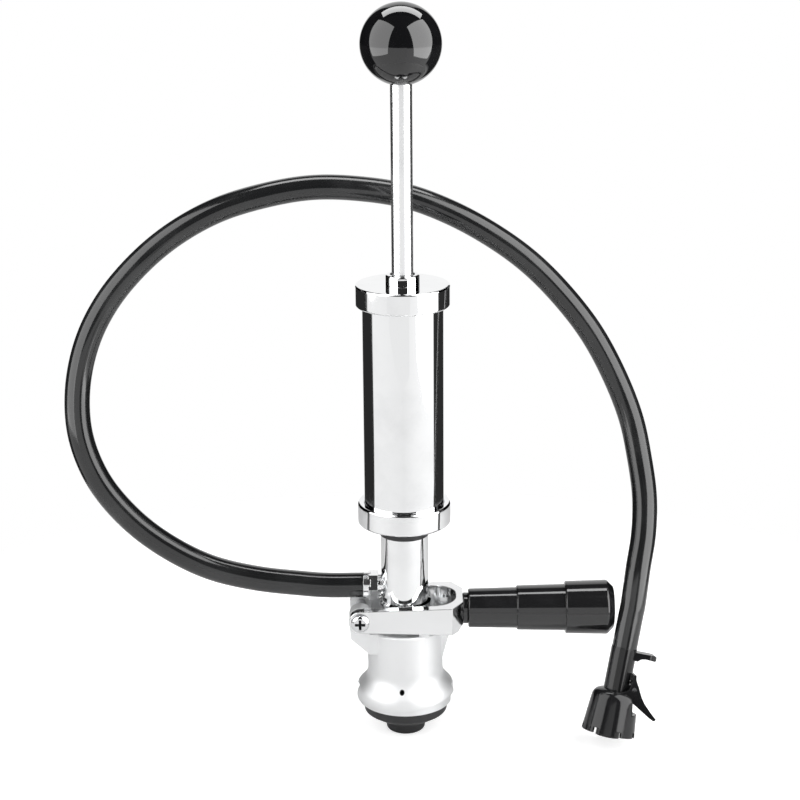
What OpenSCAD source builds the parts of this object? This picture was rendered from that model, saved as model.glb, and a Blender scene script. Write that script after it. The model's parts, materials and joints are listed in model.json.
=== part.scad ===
// Keg party pump: hand pump, lever coupler, hose and squeeze tap.
// Z runs up the pump's axis, X runs out along the lever, z = 0 is the keg's seat plane.

/* [Knob and rod] */
// Diameter of the ball knob
knob_d = 37; // [28:0.5:48]
// Height of the ball's centre over the top cap
knob_rise = 109.5; // [82:0.5:122]
// Diameter of the flat under the ball
knob_flat_d = 11.6; // [11:0.1:14]
// Diameter of the brass insert in the knob
knob_insert_d = 13.6; // [12:0.1:18]
// Height of the brass insert
knob_insert_h = 14; // [8:0.5:18]
// Depth of the insert's mouth over the ball's flat
knob_insert_rise = 3; // [2:0.5:6]
// Diameter of the pump rod
rod_d = 10; // [8:0.1:11]
// Diameter of the rod's threaded ends
rod_end_d = 6.4; // [5:0.1:7]
// Thickness of the bump ring on the rod
bumper_h = 2.5; // [1.5:0.1:4]
// Diameter of the bump ring on the rod
bumper_d = 17; // [13:0.5:24]

/* [Piston] */
// Thickness of the upper piston plate
plate_h = 2.5; // [1.5:0.1:4]
// Gap from the upper piston plate to the barrel's wall
plate_gap = 1.5; // [0.5:0.1:4.5]
// Thickness of the cup's web
cup_web_h = 2.2; // [1.5:0.1:3]
// Height of the cup's skirt
cup_skirt_h = 8; // [5:0.5:11]
// Thickness of the cup's skirt
cup_skirt_t = 1.8; // [1.2:0.1:2.4]
// Depth of the bevel on the cup's lip
cup_lip = 0.5; // [0.3:0.1:0.8]
// Thickness of the lower piston washer
piston_washer_h = 2; // [1.5:0.1:3]
// Gap from the lower piston washer to the cup's skirt
piston_washer_gap = 3.65; // [2:0.05:6.5]
// Height of the piston nut
piston_nut_h = 4; // [3:0.1:6]
// Width of the piston nut over its corners
piston_nut_d = 12.6; // [11:0.1:15]
// Gap from the cup to the barrel's wall
cup_gap = 0.05; // [0.02:0.01:0.1]

/* [Barrel and caps] */
// Outer diameter of the barrel
barrel_d = 38; // [34:0.5:42]
// Wall of the barrel
barrel_wall = 1.5; // [1:0.1:2]
// Wall of the two caps round the barrel
cap_wall = 3; // [2:0.1:7]
// Height of the bottom cap's underside over the outlet's axis
pump_rise = 32.5; // [29:0.5:37]
// Height of the bottom cap
bottom_cap_h = 10.5; // [8:0.5:13]
// Thickness of the bottom cap's floor
bottom_floor_h = 4.5; // [3:0.1:6]
// Thickness of the gasket under the barrel
gasket_h = 1; // [0.6:0.1:1.6]
// Length of the barrel
barrel_len = 106; // [100:1:112]
// Height of the top cap
top_cap_h = 10.2; // [8:0.1:13]
// Thickness of the top cap's roof
top_roof_h = 5; // [3.5:0.1:6]
// Radius of the caps' rounded rims
cap_round = 1.1; // [0.5:0.1:1.6]
// Diameter of the gland's collar
gland_d = 15.8; // [13.5:0.1:20]
// Height of the gland's collar
gland_h = 4.6; // [3.5:0.1:7]
// Radius of the gland's rounded rim
gland_round = 0.9; // [0.5:0.1:1.2]
// Height of the gland's lip over the wiper ring
gland_lip = 1.2; // [1:0.1:1.5]
// Diameter of the gland's thread
gland_thread_d = 13; // [12.6:0.1:13.4]
// Height of the wiper ring
wiper_h = 2; // [1:0.1:2.6]
// Outer diameter of the wiper ring
wiper_d = 12.2; // [11.4:0.1:12.4]

/* [Non-return valve] */
// Thickness of the valve seat
seat_h = 1.9; // [1.4:0.1:2.4]
// Diameter of the hole in the seat
seat_hole_d = 5; // [3:0.1:7]
// Diameter of the valve disc
disc_d = 10; // [8:0.1:11]
// Thickness of the valve disc
disc_h = 1.2; // [0.8:0.1:1.6]
// Length of the valve spring
valve_spring_len = 6.2; // [5:0.1:8]
// Mean radius of the valve spring
valve_spring_r = 3.4; // [2.6:0.1:4]
// Wire diameter of both springs
wire_d = 0.8; // [0.6:0.05:1]
// Bore of the valve cage
cage_bore_d = 12; // [11:0.1:13]
// Thickness of the cage's floor
cage_floor_h = 2; // [1.4:0.1:3]
// Diameter of the cage's air holes
cage_hole_d = 2; // [1.4:0.1:2.4]

/* [Probe] */
// Diameter of the neck
neck_d = 22.7; // [21.6:0.1:24]
// Thickness of the black ring over the neck
neck_gasket_h = 6.2; // [1.5:0.1:7]
// Diameter of the black ring over the neck
neck_gasket_d = 23.6; // [22.6:0.1:26]
// Diameter of the neck's thread in the bottom cap
neck_thread_d = 19; // [18.6:0.1:20]
// Bore of the probe
probe_bore_d = 16.9; // [16:0.1:17.2]
// Diameter of the probe's lower tube
probe_d = 20; // [19.6:0.1:20.6]
// Gap from the probe's two collars to the yoke's arms
collar_gap = 0.4; // [0.3:0.1:1]
// Thickness of each collar
collar_h = 2.5; // [1.8:0.1:3]
// Free height of the groove over and under a drive pin
groove_play = 0.4; // [0.35:0.05:0.6]
// Gap from each drive pin to the groove's root
groove_root_gap = 0.5; // [0.3:0.05:0.6]
// Diameter of the probe's nose
nose_d = 14; // [13:0.1:15]
// Bore of the probe's nose
nose_bore_d = 11.4; // [10.5:0.1:12]
// Height of the nose's shoulder under the keg's seat
nose_shoulder = 9.7; // [9.6:0.1:11]
// Reach of the nose under the keg's seat
nose_reach = 15; // [13.5:0.1:15.4]
// Thickness of the shoulder over the nose
nose_floor_h = 1.5; // [1.2:0.1:2]
// Reach of the tip seal under the keg's seat
tip_reach = 16.2; // [15.6:0.1:17]
// Diameter of the tip seal
tip_seal_d = 18.8; // [17:0.1:19.4]
// Radius of the tip seal's rounded edge
tip_round = 1.6; // [1:0.1:2]
// Diameter of a probe ring's section
ring_wire_d = 2.4; // [1.8:0.1:2.8]
// Depth of the upper probe ring under the body's top
ring_drop = 3; // [2:0.1:4.5]
// Distance between the two probe rings
ring_pitch = 5; // [3.5:0.1:5.5]
// Diameter of the beer tube
beer_d = 9; // [8:0.1:10]
// Bore of the beer tube
beer_bore_d = 6.4; // [5:0.1:7]
// Height of the beer tube's head
beer_head_h = 14; // [11:0.5:16]
// Diameter of the two air ways in the head
air_way_d = 3; // [2:0.1:3.2]
// Distance of the two air ways from the pump's axis
air_way_y = 5.9; // [5.6:0.1:6]

/* [Outlet tail] */
// Height of the outlet's axis over the lever's axis
outlet_rise = 12.4; // [11.9:0.1:14.4]
// Distance of the hose's end from the pump's axis
hose_end_x = 19.9; // [19:0.1:24]
// Diameter of the tail's thread
tail_thread_d = 9.6; // [8.6:0.1:10.4]
// Diameter of the tail's plain neck
tail_neck_d = 11; // [10.6:0.1:12]
// Diameter of the tail's collar
tail_collar_d = 13; // [12:0.1:14]
// Thickness of the tail's collar
tail_collar_h = 2.4; // [1.5:0.1:3]
// Length of the tail's hexagon
tail_hex_h = 4.6; // [3:0.1:5.2]
// Width of the tail's hexagon over its corners
tail_hex_d = 14.4; // [13:0.1:15]
// Length of each barb
barb_len = 14; // [10:0.5:14.5]
// Diameter of each barb
barb_d = 7.4; // [6.6:0.1:7.5]
// Depth of each step on a barb
barb_step = 0.5; // [0.3:0.1:0.6]
// Bore of each barb
barb_bore_d = 4.8; // [3.6:0.1:5.4]

/* [Coupler body] */
// Diameter of the coupler's body
body_d = 36.4; // [34:0.1:38]
// Height of the coupler's body
body_h = 38.5; // [34:0.1:44]
// Diameter over the lugs
lug_d = 48.2; // [44:0.1:52]
// Diameter of the ring between the lugs
lug_root_d = 41.2; // [40.6:0.1:43]
// Height of the lugs' rounded wall
lug_h = 8.4; // [6:0.1:10]
// Depth of the rounding over and under the lugs' widest place
lug_bulge = 1.3; // [0.5:0.1:1.8]
// Height where the flare runs out into the body
flare_h = 17; // [15:0.5:20]
// Rise of each lug's ramp over the lug's length
lug_rise = 5.4; // [2:0.1:6]
// Depth of the step along each ramp
ramp_depth = 1.6; // [1:0.1:2.4]
// Angle that each gap between the lugs takes
lug_gap_angle = 24; // [16:1:60]
// Height of the vent hole at the front of the flare
vent_z = 11.4; // [10:0.1:13]
// Diameter of the vent hole at the front of the flare
vent_d = 1.8; // [1:0.1:2.4]
// Turn of the vent hole from the front
vent_turn = 5; // [0:1:20]
// Depth of the vent hole
vent_depth = 3; // [1:0.1:4]
// Height of the ears' roots under the body's top
ear_root_h = 10.5; // [10:0.5:16]
// Height of the ears' outer wall under the hinge
ear_wall_h = 10.5; // [8:0.5:13]
// Width of the rib under the lever's outer end
rib_w = 9; // [6:0.5:12]
// Height of the rib under the lever's outer end
rib_h = 18; // [12:0.5:20]
// Reach of the rib past the body at its top
rib_reach = 4; // [2:0.1:5]
// Length of each stop pad on the body
stop_len = 5; // [3:0.5:7]
// Width of each stop pad on the body
stop_w = 2.4; // [1.6:0.1:3]
// Diameter of the chamber in the body
chamber_d = 28; // [24:0.5:30]
// Thickness of the body between the chamber and the lower probe ring
chamber_roof_t = 2.3; // [0.3:0.1:7]
// Diameter of the bottom seal
seal_d = 40.4; // [38:0.1:40.4]
// Height of the bottom seal's upright wall
seal_wall_h = 5.2; // [4.5:0.1:6]
// Reach of the bottom seal under the keg's seat
seal_reach = 9.5; // [8:0.1:9.5]
// Diameter of the bottom seal's lower face
seal_low_d = 27; // [24:0.5:34]
// Bevel at the mouth of the bottom seal
seal_lip = 1.2; // [0.6:0.1:1.8]
// Height of the bottom seal's plug in the chamber
seal_plug_h = 5; // [3:0.1:8]

/* [Lever] */
// Distance of the hinge from the pump's axis
hinge_x = 21.4; // [20:0.1:24]
// Height of the hinge and the lever's axis over the body's top
hinge_rise = 8.1; // [7.5:0.1:9.5]
// Diameter of the yoke's knuckles and the ears
knuckle_d = 10.9; // [10:0.1:12]
// Inner width of the yoke
yoke_inner_w = 26; // [25.8:0.1:27]
// Thickness of the yoke's two arms
yoke_arm_t = 4.5; // [3.5:0.1:6]
// Distance of the yoke's outer end from the pump's axis
yoke_end_x = 27.9; // [26:0.1:32]
// Thickness of the yoke's end wall
yoke_end_t = 3.3; // [2.5:0.1:4]
// Height of the yoke's end wall
yoke_end_h = 13.6; // [11:0.1:15]
// Length of the flat over each outer corner, along the lever
yoke_cut_x = 5.3; // [3:0.1:7]
// Length of the flat over each outer corner, across the lever
yoke_cut_y = 8.5; // [5:0.1:9]
// Radius of the yoke's inner corners
yoke_round = 11; // [6:0.5:12]
// Height of the slant under the yoke's outer end
yoke_slant = 2.4; // [1:0.1:3.5]
// Inner face of each ear
ear_in = 6; // [5:0.1:8]
// Gap from each ear to the yoke's arm
ear_gap = 0.4; // [0.3:0.05:0.6]
// Diameter of the hinge screw
screw_d = 5; // [4:0.1:6]
// Diameter of the hinge screw's head
screw_head_d = 8.8; // [8:0.1:10]
// Height of the hinge screw's head
screw_head_h = 2.6; // [2:0.1:3.5]
// Depth of the cross recess
recess_depth = 1.8; // [1:0.1:2]
// Reach of the hinge screw past its nut
screw_end_len = 0.6; // [0.4:0.1:2]
// Width of the cross recess's arms
recess_w = 1.3; // [0.8:0.1:1.8]
// Length of the cross recess
recess_len = 5; // [3.5:0.1:6]
// Height of the hinge nut
nut_h = 3.6; // [2.5:0.1:4.5]
// Width of the hinge nut over its corners
nut_d = 9; // [8:0.1:10.5]
// Diameter of the drive pins
drive_pin_d = 6; // [5:0.1:7]
// Reach of the drive pins into the groove
drive_pin_reach = 2.3; // [1.5:0.1:2.6]
// Depth of the drive pins in the arms
drive_pin_seat = 3; // [2:0.1:3.5]
// Gap from the yoke's underside to its stops
stop_gap = 0.35; // [0.3:0.01:0.5]

/* [Grip] */
// Diameter of the handle stud
stud_d = 7; // [5:0.1:8]
// Share of the grip's length that the stud fills
stud_share = 0.86; // [0.6:0.01:0.9]
// Length of the grip
grip_len = 70.2; // [55:0.1:85]
// Thickness of the black collar at the grip's root
grip_collar_h = 2.6; // [1.5:0.1:5]
// Diameter of the black collar at the grip's root
grip_collar_d = 15; // [11:0.1:16.5]
// Diameter of the grip's first step at its inner end
grip_d1 = 18.7; // [16:0.1:21]
// Diameter of the grip's second step at its inner end
grip_d2 = 21.4; // [19:0.1:24]
// Diameter of the grip's third step at its inner end
grip_d3 = 25.2; // [22:0.1:28]
// Growth of each step's diameter along its length
grip_growth = 1; // [0:0.1:2]
// Chamfer at the grip's outer end
grip_chamfer = 3.2; // [1:0.1:5]
// Chamfer at each step's edges
grip_edge = 0.7; // [0.3:0.1:1.2]

/* [Hose] */
// Outer diameter of the hose
hose_d = 12; // [10:0.1:13]
// Bore of the hose
hose_bore_d = 8; // [7.8:0.1:8.4]

/* [Tap] */
// Lean of the tap to the left
tap_lean = 12; // [0:0.5:20]
// Lean of the tap to the front
tap_tilt = 16; // [0:0.5:20]
// Diameter of the tap's neck
tap_neck_d = 12.4; // [12:0.1:12.8]
// Distance of the flat under the lever from the lever's pin
tap_flat_gap = 2.25; // [2.2:0.05:2.4]
// Height of the flat's upper end over the lever's pin
tap_flat_rise = 7.4; // [7.4:0.1:8.4]
// Reach of the finger tab from the tap's axis
tab_reach = 16.3; // [14:0.1:22]
// Width of the finger tab
tab_w = 9; // [7:0.5:10]
// Thickness of the finger tab at its middle
tab_t = 2.4; // [2:0.1:3]
// Thickness of the finger tab at its root
tab_root_t = 4; // [3.4:0.1:4.6]
// Distance of the tab's top under the hose's end
tab_drop = 1.1; // [1:0.1:2]
// Distance of the skirt's shoulder under the lever's pin
bell_drop = 2; // [1.6:0.1:2.6]
// Diameter of the skirt's shoulder
bell_top_d = 22.4; // [21:0.1:23]
// Diameter of the skirt's rim
bell_d = 25.6; // [23:0.1:27]
// Height of the skirt
bell_h = 21.2; // [19:0.1:23]
// Height of the skirt's round shoulder
bell_round = 5; // [4:0.1:6]
// Wall of the skirt
bell_wall = 1.6; // [1.2:0.1:2]
// Distance of the lower edge of the skirt's window under the lever's pin
window_drop = 12.2; // [11.6:0.1:13.6]
// Gap round the thumb lever in the skirt
window_gap = 0.4; // [0.4:0.1:0.8]
// Height of the ribs between the spout and the skirt
bell_rib_h = 9; // [6:0.5:9.5]
// Thickness of the ribs between the spout and the skirt
bell_rib_t = 1.4; // [1:0.1:2]
// Number of notches in the skirt's rim
notch_n = 7; // [4:1:9]
// Width of each notch
notch_w = 3; // [2:0.1:4]
// Depth of each notch
notch_h = 2.6; // [1.5:0.1:4]
// Turn of the first notch from the lever's side
notch_turn = 25; // [0:1:50]
// Reach of the spout's mouth past the skirt's rim
spout_reach = 1.8; // [0.4:0.1:3.4]
// Diameter of the spout
spout_d = 11.4; // [10.6:0.1:12]
// Bore of the spout
spout_bore_d = 9.2; // [8:0.1:9.6]
// Bore of the tap's valve chamber
tap_bore_d = 8.1; // [7.8:0.05:8.3]
// Distance of the chamber's roof under the hose's end
tap_roof = 3.4; // [3:0.1:4]
// Distance of the valve seat under the stem's shoulder
stem_tail_h = 5.4; // [4.4:0.1:6.4]
// Thickness of the valve seat
tap_seat_h = 1.5; // [1:0.1:2.5]
// Diameter of the hole in the valve seat
tap_seat_hole_d = 4.4; // [3:0.1:5]
// Gap from the stem to its chamber
stem_gap = 0.05; // [0.03:0.01:0.1]
// Distance of the stem's top under the hose's end
stem_top = 10.2; // [9.6:0.1:11]
// Thickness of the stem under the finger's groove
stem_collar_h = 0.8; // [0.6:0.1:1.7]
// Diameter of the stem's lower end
stem_low_d = 6; // [5:0.1:6.6]
// Bore of the stem
stem_bore_d = 4.2; // [3:0.1:4.6]
// Thickness of the stem's floor
stem_floor_h = 1.4; // [1:0.1:1.6]
// Gap from the finger's tip to the groove's root
finger_gap = 0.35; // [0.3:0.05:0.5]
// Height of the finger's groove
stem_groove_h = 2.8; // [2.8:0.1:3]
// Thickness of the stem's seal
stem_seal_h = 1; // [0.6:0.1:1.5]
// Diameter of the stem's seal
stem_seal_d = 7; // [6:0.1:7.4]
// Diameter of the stem's cross ports
stem_port_d = 1.8; // [1.2:0.1:2]
// Gap at each end of the tap's spring
spring_end_gap = 0.25; // [0.2:0.05:0.3]
// Gap from the tap's spring to its chamber
spring_side_gap = 0.4; // [0.3:0.05:0.6]
// Distance of the lever's pin from the tap's axis
tap_pin_x = 7.2; // [7.2:0.05:7.4]
// Distance of the lever's pin under the hose's end
tap_pin_z = 18.4; // [18:0.1:18.6]
// Diameter of the lever's pin
tap_pin_d = 2; // [1.6:0.1:2.2]
// Gap from the neck to the thumb lever's two cheeks
cheek_gap = 0.4; // [0.3:0.1:0.8]
// Thickness of the lever's two cheeks
cheek_t = 1.2; // [0.8:0.1:1.2]
// Diameter of the lever's hub
tap_hub_d = 3.8; // [3.2:0.1:3.8]
// Inner face of each lug that holds the pin
tap_lug_in = 3.9; // [3.7:0.1:4]
// Thickness of each lug that holds the pin
tap_lug_t = 1.6; // [1.2:0.1:1.8]
// Diameter of each lug that holds the pin
tap_lug_d = 3.4; // [3:0.1:3.4]
// Gap round each lug in the lever
tap_lug_gap = 0.3; // [0.3:0.05:0.4]
// Further room under each lug for the lever's swing
tap_lug_room = 0.8; // [0.6:0.1:1]
// Thickness of the lever's finger
finger_h = 2.2; // [1.8:0.1:2.2]
// Width of the lever's finger
finger_w = 3; // [2:0.1:3.4]
// Reach of the lever's finger past the stem's side
finger_bite = 0.8; // [0.5:0.1:0.8]
// Room over and under the lever's finger in the neck's wall
finger_room = 1.7; // [1.5:0.1:2]
// Room beside the lever's finger in the neck's wall
finger_side = 0.3; // [0.2:0.05:0.5]

/* [Fits] */
// Gap in a joint that turns or slides
run_gap = 0.06; // [0.02:0.01:0.1]
// Gap round a piece that stays put
seat_gap = 0.02; // [0.01:0.01:0.05]
// Gap at the end of a thread
thread_short = 0.1; // [0.05:0.01:0.2]
// Chamfer on turned and moulded edges
edge_cut = 0.8; // [0.5:0.1:1]

/* [Hidden] */
$fn = 64;
chrome = [0.80, 0.81, 0.82];
dark_chrome = [0.66, 0.67, 0.69];
black = [0.07, 0.07, 0.075];
rubber = [0.13, 0.13, 0.14];
brass = [0.78, 0.62, 0.30];
smoke = [0.16, 0.17, 0.18];
hinge_z = body_h + hinge_rise;
outlet_z = hinge_z + outlet_rise;
pump_z = outlet_z + pump_rise;
bottom_floor_z = pump_z + bottom_floor_h;
barrel_z = bottom_floor_z + gasket_h;
barrel_top_z = barrel_z + barrel_len;
barrel_bore_d = barrel_d - 2 * barrel_wall;
cap_d = barrel_d + 2 * cap_wall;
top_cap_z = barrel_top_z + top_roof_h;
knob_r = knob_d / 2;
knob_z = top_cap_z + knob_rise;
knob_flat_z = knob_z - sqrt(knob_r * knob_r - knob_flat_d * knob_flat_d / 4);
insert_z = knob_flat_z + knob_insert_rise;
wiper_z = top_cap_z + gland_h - gland_lip - wiper_h;
bumper_z = barrel_top_z - bumper_h;
plate_z = bumper_z - plate_h;
plate_d = barrel_bore_d - 2 * plate_gap;
cup_d = barrel_bore_d - 2 * cup_gap;
cup_z = plate_z - cup_web_h;
piston_washer_z = cup_z - piston_washer_h;
piston_washer_d = cup_d - 2 * (cup_skirt_t + piston_washer_gap);
piston_nut_z = piston_washer_z - piston_nut_h;
neck_top_z = pump_z - neck_gasket_h;
neck_thread_top_z = bottom_floor_z - thread_short;
seat_z = neck_thread_top_z - seat_h;
disc_z = seat_z - disc_h - seat_gap;
valve_spring_z = disc_z - valve_spring_len - seat_gap;
cage_z = valve_spring_z - cage_floor_h;
ring_upper_z = body_h - ring_drop;
ring_lower_z = ring_upper_z - ring_pitch;
chamber_h = ring_lower_z - ring_wire_d / 2 - chamber_roof_t;
yoke_outer_w = yoke_inner_w + 2 * yoke_arm_t;
collar_d = yoke_inner_w - 2 * collar_gap;
groove_half = drive_pin_d / 2 + groove_play;
collar_low_z = hinge_z - groove_half - collar_h;
collar_high_z = hinge_z + groove_half;
groove_root_d = yoke_inner_w - 2 * (drive_pin_reach + groove_root_gap);
beer_head_z = outlet_z - beer_head_h / 2;
beer_head_d = probe_bore_d - 2 * seat_gap;
ear_out = yoke_inner_w / 2 - ear_gap;
knuckle_r = knuckle_d / 2;
grip_x = yoke_end_x + grip_collar_h;
grip_step = grip_len / 3;
stud_in_x = yoke_end_x - yoke_end_t;
stud_len = yoke_end_t + grip_collar_h + stud_share * grip_len;
grip_bore_len = stud_share * grip_len + 0.2;
stem_d = tap_bore_d - 2 * stem_gap;
finger_tip_x = stem_d / 2 - finger_bite;
stem_groove_d = 2 * (finger_tip_x - finger_gap);
stem_shoulder = tap_pin_z + stem_groove_h / 2 + stem_collar_h;
tap_seat = stem_shoulder + stem_tail_h;
tap_flat_x = tap_pin_x - tap_flat_gap;
tap_flat_top = tap_pin_z - tap_flat_rise;
bell_top = tap_pin_z + bell_drop;
bell_low = bell_top + bell_h;
spout_low = bell_low + spout_reach;
window_low = tap_pin_z + window_drop;
blade_w = tap_neck_d + 2 * (cheek_gap + cheek_t);

// Where the hose ends on the tap, and the way the tap points
tap_at = [105.2, -13, 31];
tap_down = [-cos(tap_tilt) * sin(tap_lean), -sin(tap_tilt), -cos(tap_tilt) * cos(tap_lean)];

// Points of the hose's middle line, from the outlet to the tap, with its last stretch straight
route = [
    [-hose_end_x, 0, outlet_z], [-36, 0, 59], [-49, 0, 60], [-72, 0, 63], [-94, 0, 69], [-114, 0, 80],
    [-131, 1, 94], [-145, 3, 112], [-153, 6, 133], [-154, 10, 155], [-149, 14, 177],
    [-139, 19, 196], [-124, 24, 213], [-107, 30, 226], [-87, 35, 236], [-65, 39, 242],
    [-43, 42, 245], [-21, 44, 244], [2, 45, 240], [23, 45, 232], [43, 44, 221], [61, 42, 208],
    [77, 40, 192], [91, 37, 174], [102, 33, 154], [110, 27, 134], [114, 20, 115], [116, 13, 98],
    [115, 5, 82], [112, -2, 67], tap_at - 22 * tap_down, tap_at - 15 * tap_down, tap_at
];
hose_sides = 12;
hose_cuts = 2;

function unit(v) = v / norm(v);
function arc(cx, cy, r, a0, a1, n) = [for (i = [0:n]) let (a = a0 + (a1 - a0) * i / n)
    [cx + r * cos(a), cy + r * sin(a)]];
function spline(a, b, c, d, t) = 0.5 * (2 * b + (c - a) * t + (2 * a - 5 * b + 4 * c - d) * t * t
    + (3 * b - a - 3 * c + d) * t * t * t);

// A curve from a to d that leaves towards b and comes in from c
function bend(a, b, c, d, n) = [for (i = [0:n]) let (t = i / n, u = 1 - t)
    u * u * u * a + 3 * u * u * t * b + 3 * u * t * t * c + t * t * t * d];

route_ends = concat([route[0] + [barb_len, 0, 0]], route, [tap_at + barb_len * tap_down]);
hose_line = concat([for (i = [1:len(route) - 1]) for (k = [0:hose_cuts - 1])
    spline(route_ends[i - 1], route_ends[i], route_ends[i + 1], route_ends[i + 2], k / hose_cuts)],
    [tap_at]);
hose_last = len(hose_line) - 1;
function hose_way(i) = i == 0 ? [-1, 0, 0] : i == hose_last ? tap_down
    : unit(hose_line[i + 1] - hose_line[i - 1]);

// Rings of points round a middle line, each ring square to its own direction
function ring_points(line, ways, r, n) = [for (i = [0:len(line) - 1])
    let (u = unit(cross(ways[i], [0, 1, 0])), v = cross(ways[i], u)) for (k = [0:n - 1])
    let (a = 360 * k / n) line[i] + r * (cos(a) * u + sin(a) * v)];
function wall_faces(m, n, s, flip) = [for (i = [0:m - 2]) for (k = [0:n - 1]) for (h = [0, 1])
    let (a = s + i * n + k, b = s + i * n + (k + 1) % n, c = a + n, d = b + n,
    f = h == 0 ? [a, b, d] : [a, d, c]) flip ? [f[2], f[1], f[0]] : f];
function rim_faces(p, q, n, flip) = [for (k = [0:n - 1]) for (h = [0, 1])
    let (k2 = (k + 1) % n, f = h == 0 ? [p + k, q + k2, p + k2] : [p + k, q + k, q + k2])
    flip ? [f[2], f[1], f[0]] : f];

// Middle line of a spring with ends wound flat, up the Z axis
function coil_line(r, len, turns, n) = [for (i = [0:turns * n])
    let (t = i / (turns * n), a = 360 * i / n) [r * cos(a), r * sin(a), wire_d / 2 + t * (len - wire_d)]];
function least_gap(line, n) = min([for (i = [0:len(line) - n]) for (j = [i + n - 2:len(line) - 1])
    norm(line[i] - line[j])]) - wire_d;

module coil(r, len, turns) {
    rings = 8;
    sides = 6;
    line = coil_line(r, len, turns, rings);
    last = len(line) - 1;
    points = [for (i = [0:last]) let (a = 360 * i / rings, u = [cos(a), sin(a), 0])
        for (k = [0:sides - 1]) let (b = 360 * k / sides)
        line[i] + wire_d / 2 * (cos(b) * u + sin(b) * [0, 0, 1])];
    echo(least_coil_gap = least_gap(line, rings));
    polyhedron(points = points, faces = concat(
        wall_faces(last + 1, sides, 0, true),
        [[for (k = [0:sides - 1]) k]],
        [[for (k = [sides - 1:-1:0]) last * sides + k]]), convexity = 8);
}

// A ring or tube along Z
module tube(d_out, d_in, z0, h) {
    translate([0, 0, z0]) difference() {
        cylinder(d = d_out, h = h);
        translate([0, 0, -1]) cylinder(d = d_in, h = h + 2);
    }
}

// Lays a form that stands along Z onto the line that runs along X
module along_x() { rotate([0, 90, 0]) children(); }

// Stands a side view of X and Z up as a plate of a given width across Y
module side_plate(w) { rotate([90, 0, 0]) linear_extrude(w, center = true) children(); }

module knob() {
    color(black) difference() {
        translate([0, 0, knob_z]) sphere(d = knob_d);
        translate([0, 0, knob_flat_z - knob_r]) cylinder(d = knob_d, h = knob_r);
        translate([0, 0, knob_flat_z - 1]) cylinder(d = rod_d + 2 * seat_gap, h = knob_insert_rise + 2);
        translate([0, 0, insert_z]) cylinder(d = knob_insert_d + 2 * seat_gap, h = knob_insert_h);
    }
}

module knob_insert() {
    color(brass) tube(knob_insert_d, rod_end_d + 2 * seat_gap, insert_z, knob_insert_h);
}

module pump_rod() {
    color(chrome) {
        translate([0, 0, plate_z + plate_h]) cylinder(d = rod_d, h = insert_z - plate_z - plate_h);
        translate([0, 0, piston_nut_z]) cylinder(d = rod_end_d, h = plate_z + plate_h - piston_nut_z);
        translate([0, 0, insert_z]) cylinder(d = rod_end_d, h = knob_insert_h - 1);
    }
}

module rod_bumper() {
    color(rubber) tube(bumper_d, rod_d + 2 * seat_gap, bumper_z, bumper_h - run_gap);
}

module piston_plate() {
    color(dark_chrome) tube(plate_d, rod_end_d + 2 * seat_gap, plate_z, plate_h);
}

module piston_cup() {
    color(rubber) rotate_extrude() polygon([
        [rod_end_d / 2 + seat_gap, cup_z], [rod_end_d / 2 + seat_gap, plate_z],
        [cup_d / 2 - edge_cut, plate_z], [cup_d / 2, plate_z - edge_cut],
        [cup_d / 2, plate_z - cup_skirt_h], [cup_d / 2 - cup_lip, plate_z - cup_skirt_h - cup_lip / 2],
        [cup_d / 2 - cup_skirt_t, plate_z - cup_skirt_h],
        [cup_d / 2 - cup_skirt_t, cup_z - edge_cut], [cup_d / 2 - cup_skirt_t - edge_cut, cup_z]]);
}

module piston_washer() {
    color(dark_chrome) tube(piston_washer_d, rod_end_d + 2 * seat_gap, piston_washer_z, piston_washer_h);
}

module piston_nut() {
    color(dark_chrome) translate([0, 0, piston_nut_z]) difference() {
        cylinder(d = piston_nut_d, h = piston_nut_h, $fn = 6);
        translate([0, 0, -1]) cylinder(d = rod_end_d + 2 * seat_gap, h = piston_nut_h + 2);
    }
}

module rod_gland() {
    r = gland_d / 2 - gland_round;
    top = top_cap_z + gland_h;
    bore = rod_d / 2 + run_gap;
    color(chrome) difference() {
        rotate_extrude() polygon(concat(
            [[bore, barrel_top_z], [gland_thread_d / 2 - seat_gap, barrel_top_z],
            [gland_thread_d / 2 - seat_gap, top_cap_z], [gland_d / 2, top_cap_z]],
            arc(r, top - gland_round, gland_round, 0, 90, 6),
            [[bore + edge_cut, top], [bore, top - edge_cut]]));
        translate([0, 0, wiper_z]) cylinder(d = wiper_d, h = wiper_h);
    }
}

module rod_wiper() {
    color(rubber) tube(wiper_d - 2 * seat_gap, rod_d + 2 * seat_gap,
        wiper_z + seat_gap, wiper_h - 2 * seat_gap);
}

module top_cap() {
    r = cap_d / 2;
    z0 = top_cap_z - top_cap_h;
    color(chrome) rotate_extrude() polygon(concat(
        [[barrel_d / 2 + seat_gap, z0], [r - cap_round, z0]],
        arc(r - cap_round, z0 + cap_round, cap_round, -90, 0, 6),
        arc(r - cap_round, top_cap_z - cap_round, cap_round, 0, 90, 6),
        [[gland_thread_d / 2, top_cap_z], [gland_thread_d / 2, barrel_top_z],
        [barrel_d / 2 + seat_gap, barrel_top_z]]));
}

module barrel() {
    color(chrome) tube(barrel_d, barrel_bore_d, barrel_z, barrel_len);
}

module barrel_gasket() {
    color(rubber) tube(barrel_d, barrel_bore_d, bottom_floor_z, gasket_h);
}

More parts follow.
